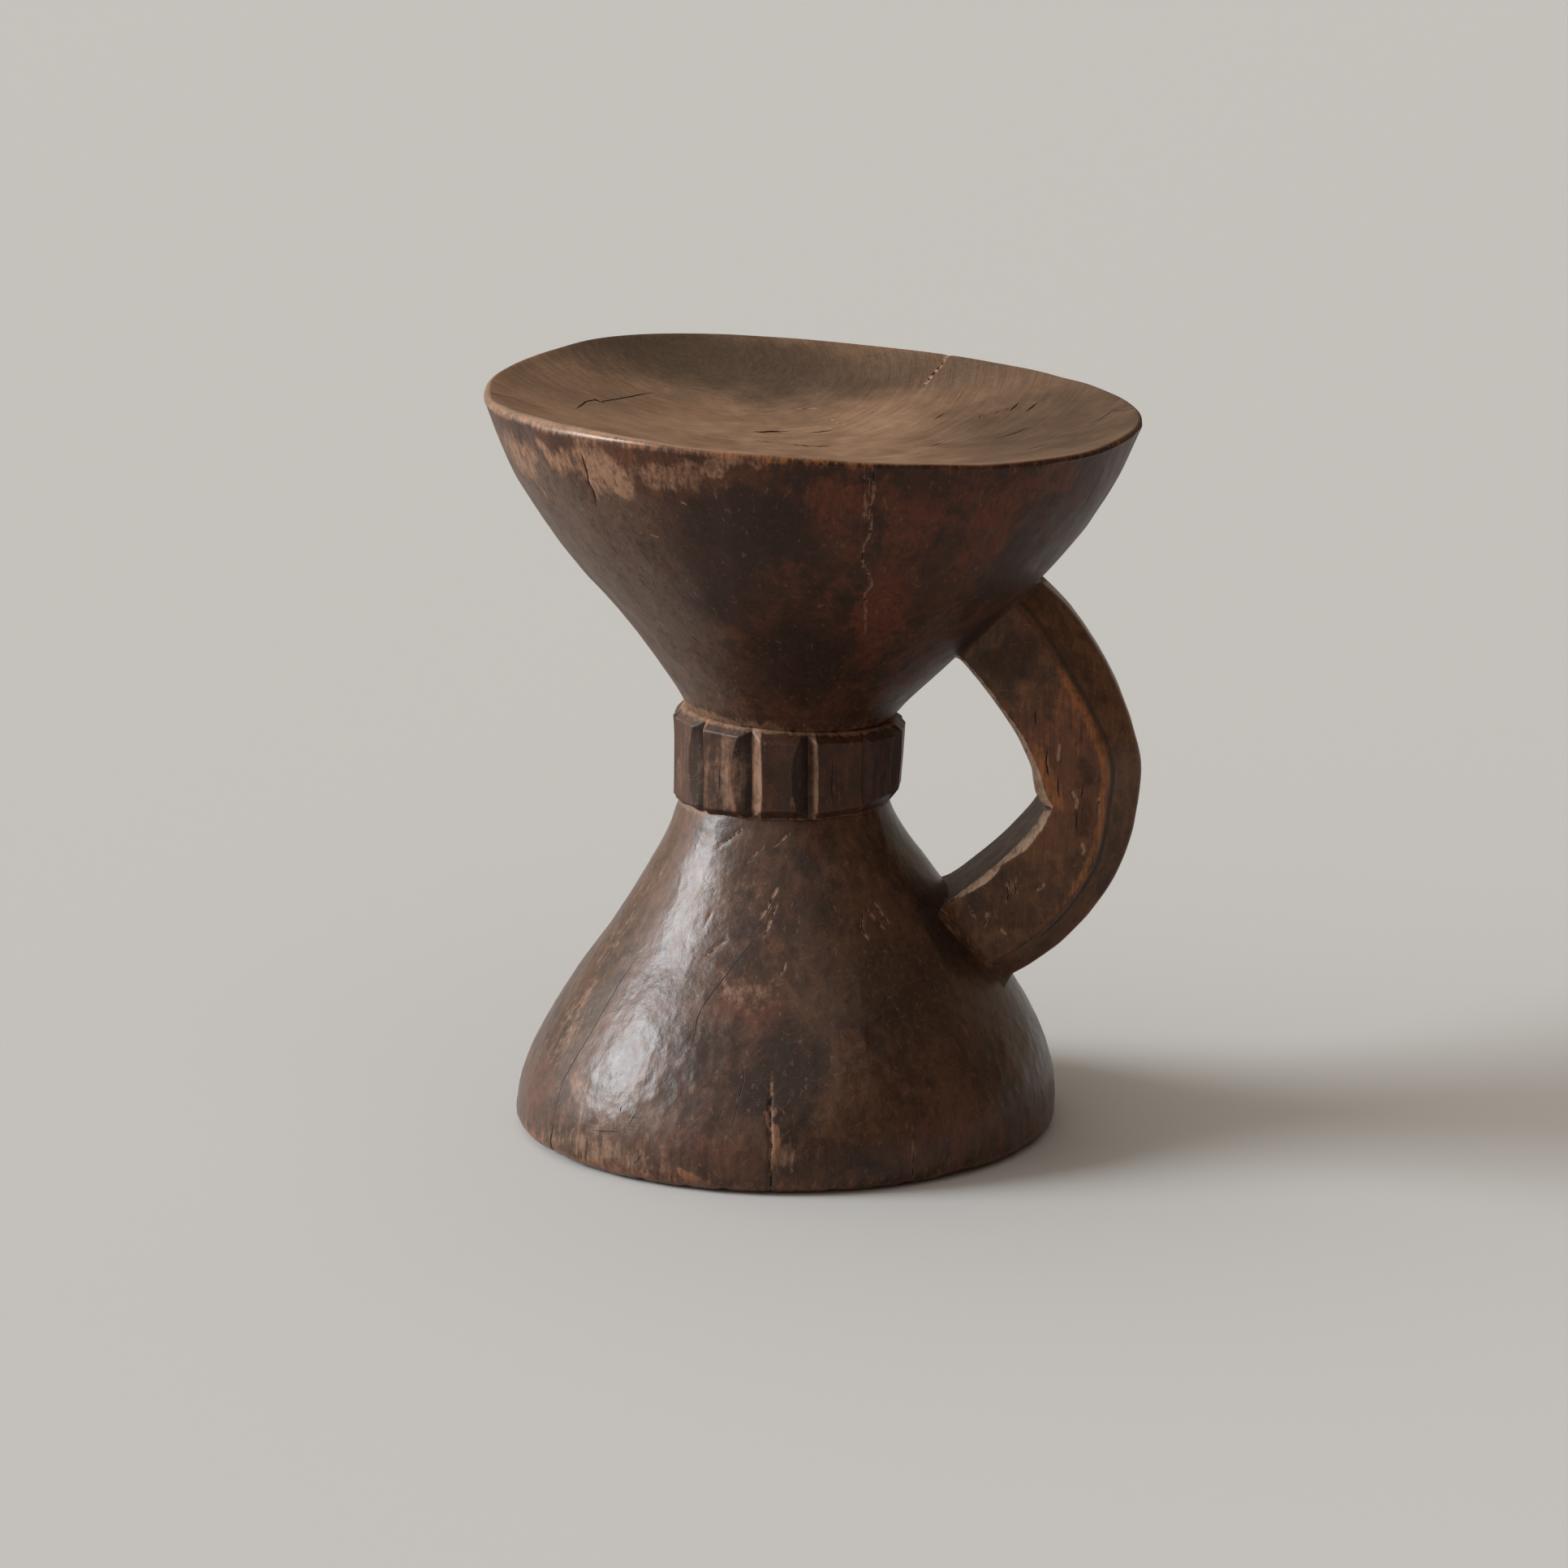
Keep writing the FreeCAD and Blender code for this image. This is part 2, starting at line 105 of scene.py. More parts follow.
def scoopMarks(points, cell, seed):
    # Adze marks, a shallow bowl for each: squared distance, in cells, to the nearest jittered cell point.
    scaled = points / np.asarray(cell, float)
    low = np.floor(scaled).astype(np.int64)
    nearest = np.full(points.shape[:-1], 9.0)  # farther than any neighbour
    for step in np.ndindex(3, 3, 3):
        cells = low + np.array(step) - 1
        spot = cells + np.stack([cellNumbers(cells, seed + axis) for axis in range(3)], axis=-1)
        nearest = np.minimum(nearest, ((scaled - spot) ** 2).sum(axis=-1))
    return nearest


def carvedRelief(points, waves, scoops):
    # Sum of soft noises and of adze marks less their usual value, each times its depth.
    # Each is (cell, depth, seed).
    usualMark = 0.4
    relief = sum(depth * softNoise(points, cell, seed) for cell, depth, seed in waves)
    return relief + sum(depth * (scoopMarks(points, cell, seed) - usualMark) for cell, depth, seed in scoops)


# Patches of wear and smoke. A coarse and a fine noise fray them: cell and depth in millimetres, step of
# the seed. Their edge: distances from the middle, in half sizes, where a patch ends and is full.
patchFray = (((17, 17, 24), 8, 0), ((6, 6, 9), 4, 5))
patchEdge = (1.3, 0.35)


def frayNoise(points, seed):
    # Two independent noises in millimetres, each the sum of a coarse and a fine one.
    return [
        sum(depth * softNoise(points, cell, seed + step + k) for cell, depth, step in patchFray)
        for k in (0, 1)
    ]


def softPatches(a, b, perA, perB, wobble, patches):
    # The strongest of the listed ovals at each point. Each is (a, b, half width mm, half height mm,
    # strength), and the wobble, two noises in millimetres, frays its outline.
    total = np.zeros(a.shape)
    for midA, midB, halfWidth, halfHeight, strength in patches:
        across, up = (a - midA) * perA + wobble[0], (b - midB) * perB + wobble[1]
        away = np.hypot(across / halfWidth, up / halfHeight)
        total = np.maximum(total, strength * ease(*patchEdge, away))
    return total


# Cracks and strokes, in millimetres.
lineLook = {
    "far": 90.0,  # a distance that no line reaches
    "grooveSpread": 1.1,
    "reach": 6,  # distances are cut off here
    "fade": (5, 3),  # the width fades between these distances
}


def line(width, *path, pale=0, groove=0, taper=(6, 6)):
    # A crack or a stroke: half width, points of its path, paleness beside it, depth of its groove, and
    # the lengths over which its two ends taper.
    return {"width": width, "path": path, "pale": pale, "groove": groove, "taper": taper}


def lineField(a, b, perA, perB, lines):
    # For each point (a, b), with perA and perB millimetres to the unit: the signed distance to the
    # nearest line, and that line's half width, paleness and groove there. Width and groove taper to
    # nothing at both ends.
    nearest, side = np.full(a.shape, lineLook["far"]), np.ones(a.shape)
    width, groove, pale = (np.zeros(a.shape) for _ in range(3))
    for mark in lines:
        path = np.array(mark["path"], float)
        steps = np.diff(path, axis=0)
        lengths = np.hypot(steps[:, 0] * np.mean(perA), steps[:, 1] * np.mean(perB))
        runs = np.concatenate([[0], np.cumsum(lengths)])
        head, tail = mark["taper"]
        for start, step, run, length in zip(path[:-1], steps, runs, lengths):
            dx, dy = step[0] * perA, step[1] * perB
            px, py = (a - start[0]) * perA, (b - start[1]) * perB
            t = np.clip((px * dx + py * dy) / (dx * dx + dy * dy), 0, 1)
            distance = np.hypot(px - t * dx, py - t * dy)
            closer = distance < nearest
            along = run + t * length
            thin = ease(0, head, along) * ease(0, tail, runs[-1] - along)
            nearest = np.where(closer, distance, nearest)
            side = np.where(closer, np.where(dx * py - dy * px < 0, -1, 1), side)
            width = np.where(closer, mark["width"] * thin, width)
            groove = np.where(closer, mark["groove"] * thin, groove)
            pale = np.where(closer, mark["pale"], pale)
    gap = np.clip(side * nearest, -lineLook["reach"], lineLook["reach"])
    dent = groove * bell(nearest, 0, lineLook["grooveSpread"])
    return gap, width * ease(*lineLook["fade"], nearest), pale, dent


# Grids and meshes

def crowdedAngles(count, frontCrowd, spots):
    # Angles round the axis in radians: equal shares of a density that is higher at the front and round
    # each spot.
    table = np.linspace(-np.pi, np.pi, 14401)  # fortieths of a degree
    density = 1 + frontCrowd * (1 + np.cos(table)) / 2
    for spot, width, extra in spots:
        density = density + extra * bell(table, np.radians(spot), np.radians(width))
    total = np.concatenate([[0], np.cumsum((density[1:] + density[:-1]) / 2)])
    return np.interp(np.arange(count) / count * total[-1], total, table)


def aroundAxis(angle, radius, height, shift):
    # Points at an angle, radius and height, round an axis that is shifted towards the handle.
    return np.stack([shift + radius * np.sin(angle), -radius * np.cos(angle), height], axis=-1)


def wayRound(angle, radius):
    # Distance round the axis at one radius, with the first column again at the end.
    return np.append(angle, angle[0] + 2 * np.pi) * radius


def perDegree(radius):
    # Millimetres to a degree round the axis. Nearer than 20 mm it stays the same.
    return np.maximum(radius, 20) * np.pi / 180


def gridNormals(points):
    # Unit normals of a grid that closes on itself sideways: cross product of the two central differences.
    sideways = np.roll(points, -1, axis=1) - np.roll(points, 1, axis=1)
    upward = np.gradient(points, axis=0)
    normal = np.cross(sideways, upward)
    return normal / np.maximum(np.linalg.norm(normal, axis=-1, keepdims=True), 1e-9)


def gridPiece(name, points, marks, around):
    # A closed mesh from a grid whose first and last rows are single points. Quads join the rows, fans
    # close the poles. The map "skin" holds the way round and the way along the surface, in metres.
    rows, columns = points.shape[:2]
    flat = np.concatenate([points[0, :1], points[1:-1].reshape(-1, 3), points[-1, :1]]) * toMetres
    ring = np.arange(columns)
    after = np.roll(ring, -1)
    first = 1 + np.arange(rows - 3)[:, None] * columns
    above = first + columns
    quads = np.stack([first + ring, first + after, above + after, above + ring], axis=-1).reshape(-1, 4)
    lastRow = 1 + (rows - 3) * columns
    bottom = np.stack([np.zeros_like(ring), 1 + after, 1 + ring], axis=-1)
    top = np.stack([np.full_like(ring, len(flat) - 1), lastRow + ring, lastRow + after], axis=-1)
    corners = flat[quads]
    halves = [np.cross(corners[:, k], corners[:, k + 1]) for k in (1, 2)]
    volume = sum((corners[:, 0] * half).sum() for half in halves)
    turn = 1 if volume > 0 else -1  # faces point outwards
    faces = [face for part in (quads, bottom, top) for face in part[:, ::turn].tolist()]
    mesh = bpy.data.meshes.new(name)
    mesh.from_pydata(flat.tolist(), [], faces)
    mesh.polygons.foreach_set("use_smooth", np.ones(len(faces), bool))
    for mark, values in marks.items():
        values = np.broadcast_to(values, (rows, columns))
        single = np.concatenate([values[0, :1], values[1:-1].ravel(), values[-1, :1]])
        mesh.attributes.new(mark, "FLOAT", "POINT").data.foreach_set("value", single.astype(np.float32))
    lengths = np.linalg.norm(np.diff(points, axis=0), axis=-1).mean(axis=1)
    along = np.concatenate([[0], np.cumsum(lengths)])[:, None]
    left, right, up = (np.broadcast_to(part, (rows, columns)) for part in (around[:-1], around[1:], along))
    low, high = slice(1, -2), slice(2, -1)
    quadU = np.stack([left[low], right[low], right[high], left[high]], axis=-1).reshape(-1, 4)
    quadV = np.stack([up[low], up[low], up[high], up[high]], axis=-1).reshape(-1, 4)
    fanU = [np.stack(part, axis=-1) for part in ((left[0], right[0], left[0]), (left[0], left[0], right[0]))]
    fanV = [np.stack(part, axis=-1) for part in ((up[0], up[1], up[1]), (up[-1], up[-2], up[-2]))]
    skin = [[part[:, ::turn].ravel() for part in parts] for parts in ((quadU, *fanU), (quadV, *fanV))]
    skin = np.stack([np.concatenate(parts) for parts in skin], axis=-1) * toMetres
    mesh.uv_layers.new(name="skin").data.foreach_set("uv", skin.ravel().astype(np.float32))
    mesh.update()
    piece = bpy.data.objects.new(name, mesh)
    bpy.context.scene.collection.objects.link(piece)
    print(f"{name}: {len(flat)} points, {2 * len(quads) + 2 * columns} triangles")
    return piece


def place(piece, material, node):
    # Gives a piece its wood, its body and its slot, and hides the frame's node that it stands for.
    piece.data.materials.append(material)
    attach(piece, "root")
    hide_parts(node)


# Wood

def linear(hexColor):
    # sRGB hex to linear light, with alpha 1.
    parts = [int(hexColor[i : i + 2], 16) / 255 for i in (1, 3, 5)]
    return [c / 12.92 if c <= 0.04045 else ((c + 0.055) / 1.055) ** 2.4 for c in parts] + [1.0]


def addNode(tree, kind, settings, inputs):
    # Adds a shader node with its settings. Each input takes a value, or a link from a node or one of its
    # outputs.
    node = tree.nodes.new("ShaderNode" + kind)
    for name, value in settings.items():
        setattr(node, name, value)
    for name, value in inputs.items():
        if isinstance(value, bpy.types.Node):
            value = value.outputs[0]
        if isinstance(value, bpy.types.NodeSocket):
            tree.links.new(value, node.inputs[name])
        else:
            node.inputs[name].default_value = value
    return node


# Noise patterns that the woods share: width across the grain and length along it in millimetres, detail,
# roughness.
woodPatterns = {
    "cloud": (34, 52, 4.0, 0.6),
    "mottle": (9, 13, 5.0, 0.62),
    "ink": (5, 7, 6.0, 0.7),
    "rub": (3.2, 8, 5.0, 0.7),
    "streak": (2.4, 60, 3.0, 0.6),
    "fiber": (0.7, 20, 2.0, 0.6),
    "ragged": (2.4, 4.0, 5.0, 0.7),
    "dimple": (4.6, 5.5, 2.0, 0.5),
    "speck": (1.3, 1.6, 3.0, 0.6),
}
# Noise values between which a pattern comes up.
patternLimits = {
    "cloud": (0.36, 0.64), "mottle": (0.42, 0.7), "ink": (0.5, 0.62), "rub": (0.58, 0.7),
    "speck": (0.73, 0.78),
}
# Knife and wear scratches on the skin: turn in degrees, length and width in millimetres.
scratchPatterns = ((52, 15, 0.8), (-48, 13, 0.7), (12, 18, 0.6))
scratchLimits = (0.72, 0.8)  # noise values
# Cracks in the skin. Distances are millimetres past the half width, from where each thing ends to where
# it is full.
crackLook = {
    "wander": 1.2,
    "open": (0.14, -0.1),
    "frayed": (0.9, 0.1),
    "fibers": (0.44, 0.58),  # noise values between which the frayed fibres come up
    "leastWidth": 0.1,
    "depth": 0.5,
    "matt": 0.4,
}
scratchDepth = 0.05  # millimetres
grainLimits = (0.7, 1.3)  # values of two noises together
gloss = 0.3  # how much the mottle varies the roughness

# Node settings and inputs that come back often.
smooth = {"interpolation_type": "SMOOTHSTEP"}
shaded = {"blend_type": "MULTIPLY"}
flatNoise = {"noise_dimensions": "2D"}
operations = ("ADD", "SUBTRACT", "MULTIPLY", "MULTIPLY_ADD", "SCALE")
plus, minus, times, timesPlus, scaled = ({"operation": kind} for kind in operations)
fromLimits = ("From Min", "From Max")
allLimits = ("From Min", "From Max", "To Min", "To Max")


def dishEndGrain(add, look, color, spot, noise, shown, painted, breakUp):
    # End grain: noise stretched along rings, in the distance from the pith and the angle round it, darker
    # at the back; painted shade darkens the right side, which faces the light, and the back.
    dish = look["dish"]
    fromPith = add("VectorMath", minus, {0: spot, 1: dish["pith"]})
    fromPith = add("VectorMath", times, {0: fromPith, 1: (1, 1, 0)})
    away = add("VectorMath", {"operation": "LENGTH"}, {0: fromPith}).outputs["Value"]
    parts = add("SeparateXYZ", {}, {0: fromPith}).outputs
    turn = add("Math", {"operation": "ARCTAN2"}, {0: parts[0], 1: parts[1]})
    tone = add("MixRGB", {}, {0: shown["cloud"], 1: color["dishMid"], 2: color["dishLight"]})
    edge = add("Math", timesPlus, {0: breakUp, 1: dish["backBroken"], 2: painted["dishDark"]})
    edge = add("MapRange", smooth, {"Value": edge, **dict(zip(fromLimits, dish["backLimits"]))})
    tone = add("MixRGB", {}, {0: edge, 1: tone, 2: color["dishDark"]})
    grains = {"mottle": noise["mottle"]}
    for key, (width, length, detail) in dish["rings"].items():
        outward = add("Math", {"operation": "DIVIDE"}, {0: away, 1: width})
        around = add("Math", times, {0: turn, 1: dish["ringRadius"] / length})
        ringPlace = add("CombineXYZ", {}, {0: outward, 1: around})
        inputs = {"Vector": ringPlace, "Scale": 1.0, "Detail": detail, "Roughness": dish["ringRoughness"]}
        grains[key] = add("TexNoise", flatNoise, inputs)
    for key, limits in dish["shades"].items():
        shade = add("MapRange", {}, {"Value": grains[key], **dict(zip(allLimits, limits))})
        tone = add("MixRGB", shaded, {0: 1.0, 1: tone, 2: shade})
    # Painted shade: the dish is darker on its right side, which faces the light, and at its back.
    tone = add("MixRGB", shaded, {0: 1.0, 1: tone, 2: painted["dishShade"]})
    return add("MixRGB", {}, {0: shown["speck"], 1: tone, 2: color["fray"]})


def scratchMarks(add, skin, strength):
    # Thin strokes of stretched noise on the skin, in a few directions: the strongest of them at each point.
    scratches = 0.0
    for turn, length, width in scratchPatterns:
        inputs = {"Vector": skin, "Rotation": (0, 0, np.radians(turn)), "Scale": (length, width, 1)}
        turned = add("Mapping", {"vector_type": "TEXTURE"}, inputs)
        strokes = add("TexNoise", flatNoise, {"Vector": turned, "Scale": 1.0, "Detail": 1.0})
        limits = dict(zip(fromLimits, scratchLimits))
        mark = add("MapRange", smooth, {"Value": strokes, **limits, "To Max": strength})
        scratches = add("Math", {"operation": "MAXIMUM"}, {0: scratches, 1: mark})
    return scratches


def crackMarks(add, noise, painted):
    # Dark inside the half width, frayed pale fibre beside it, both wandering with the ragged noise.
    width, wander = painted["crackWidth"], crackLook["wander"]
    sway = add("Math", timesPlus, {0: noise["ragged"], 1: wander, 2: -wander / 2})
    gap = add("Math", plus, {0: painted["crackGap"], 1: sway})
    gap = add("Math", {"operation": "ABSOLUTE"}, {0: gap})
    past = add("Math", minus, {0: gap, 1: width})
    there = add("MapRange", {}, {"Value": width, "From Min": 0.0, "From Max": crackLook["leastWidth"]})
    core = add("MapRange", smooth, {"Value": past, **dict(zip(fromLimits, crackLook["open"]))})
    core = add("Math", times, {0: core, 1: there})
    fibers = add("MapRange", smooth, {"Value": noise["rub"], **dict(zip(fromLimits, crackLook["fibers"]))})
    fray = add("MapRange", smooth, {"Value": past, **dict(zip(fromLimits, crackLook["frayed"]))})
    for part in (there, painted["crackPale"], fibers):
        fray = add("Math", times, {0: fray, 1: part})
    return core, fray


def carvedWood(name, look):
    # Dark hardwood: clouds of smoke and rubbing over straight upright grain, broken wear patches and painted
    # light and shade from the piece's own masks, scratches, and drying cracks at the zero of a signed
    # distance.
    material = bpy.data.materials.new(name)
    material.use_nodes = True
    tree = material.node_tree
    tree.nodes.clear()
    add = partial(addNode, tree)
    color = {key: linear(value) for key, value in look["colors"].items()}
    hasDish = "dish" in look
    # Places in millimetres: in space and on the skin.
    objectPlace, skinPlace = add("TexCoord", {}, {}).outputs["Object"], add("UVMap", {"uv_map": "skin"}, {})
    spot = add("VectorMath", scaled, {0: objectPlace, "Scale": 1 / toMetres})
    skin = add("VectorMath", scaled, {0: skinPlace, "Scale": 1 / toMetres})
    marks = [*look["layers"], "crackGap", "crackWidth", "crackPale"]
    if hasDish:
        marks += ["dish", "dry", "dishDark", "dishShade"]
    painted = {key: add("Attribute", {"attribute_name": key}, {}).outputs["Fac"] for key in marks}
    noise = {}
    for key, (width, length, detail, roughness) in woodPatterns.items():
        thin = add("VectorMath", times, {0: spot, 1: (1 / width, 1 / width, 1 / length)})
        inputs = {"Vector": thin, "Scale": 1.0, "Detail": detail, "Roughness": roughness}
        noise[key] = add("TexNoise", {}, inputs)
    shown = {}
    for key, limits in patternLimits.items():
        inputs = {"Value": noise[key], **dict(zip(fromLimits, limits)), "To Max": look.get(key, 1.0)}
        shown[key] = add("MapRange", smooth, inputs)

    # Base tone: clouds between the dark and the middle colour, warmer where the mottle is high.
    tone = add("MixRGB", {}, {0: shown["cloud"], 1: color["dark"], 2: color["mid"]})
    tone = add("MixRGB", {}, {0: shown["mottle"], 1: tone, 2: color["warm"]})

    # Wear and patina, with painted light and shade on some pieces: each mask is broken up by three noises
    # before its colour goes on.
    breakUp = add("Math", plus, {0: noise["ragged"], 1: noise["mottle"]})
    breakUp = add("Math", plus, {0: breakUp, 1: noise["streak"]})
    masks = dict(painted)
    for key, (broken, low, high, strength) in look["layers"].items():
        edge = add("Math", timesPlus, {0: breakUp, 1: broken, 2: painted[key]})
        usual = 1.5 * broken  # three noises, each one half in the middle
        limits = {"From Min": usual + low, "From Max": usual + high, "To Max": strength}
        masks[key] = add("MapRange", smooth, {"Value": edge, **limits})
        tone = add("MixRGB", {}, {0: masks[key], 1: tone, 2: color[key]})

    # Fine patina: black specks that smoke left in the pores, and small rubbed spots.
    for key, paint in (("ink", "soot"), ("rub", "worn")):
        tone = add("MixRGB", {}, {0: shown[key], 1: tone, 2: color[paint]})

    # Grain: long streaks and fine fibres darken and lighten the tone.
    grain = add("Math", plus, {0: noise["streak"], 1: noise["fiber"]})
    limits = dict(zip(allLimits, grainLimits + look["grain"]))
    shade = add("MapRange", {}, {"Value": grain, **limits})
    tone = add("MixRGB", shaded, {0: 1.0, 1: tone, 2: shade})
    if hasDish:
        dishTone = dishEndGrain(add, look, color, spot, noise, shown, painted, breakUp)
        tone = add("MixRGB", {}, {0: painted["dish"], 1: tone, 2: dishTone})

    # Scratches are pale where they broke the dark surface, cracks are dark with pale fibres beside them.
    scratches = scratchMarks(add, skin, look["scratch"])
    core, fray = crackMarks(add, noise, painted)
    for mask, paint in ((scratches, "worn"), (core, "crack"), (fray, "fray")):
        tone = add("MixRGB", {}, {0: mask, 1: tone, 2: color[paint]})

    # Roughness: the rubbed skin is glossier than worn or open wood.
    rough = add("Math", timesPlus, {0: noise["mottle"], 1: gloss, 2: look["roughness"] - gloss / 2})
    masks["core"] = core
    for key, extra in {**look["matt"], "core": crackLook["matt"]}.items():
        rough = add("Math", timesPlus, {0: masks[key], 1: extra, 2: rough})

    # Relief in millimetres: the open cracks, scratches, fibres and dimples.
    height = add("Math", times, {0: core, 1: -crackLook["depth"]})
    height = add("Math", timesPlus, {0: scratches, 1: -scratchDepth, 2: height})
    for key, amount in look["relief"].items():
        height = add("Math", timesPlus, {0: noise[key], 1: amount, 2: height})
    bump = add("Bump", {}, {"Strength": 1.0, "Distance": toMetres, "Height": height})
    shine = look["shine"]
    if hasDish:
        shine = add("Math", timesPlus, {0: painted["dry"], 1: -look["dish"]["dull"] * shine, 2: shine})
    inputs = {"Base Color": tone, "Roughness": rough, "Specular IOR Level": shine, "Normal": bump}
    shader = add("BsdfPrincipled", {}, {**inputs, "Specular Tint": linear(look["shineColor"])})
    add("OutputMaterial", {}, {"Surface": shader})
    return material


# Seat bowl: the leaning flare with the dished seat

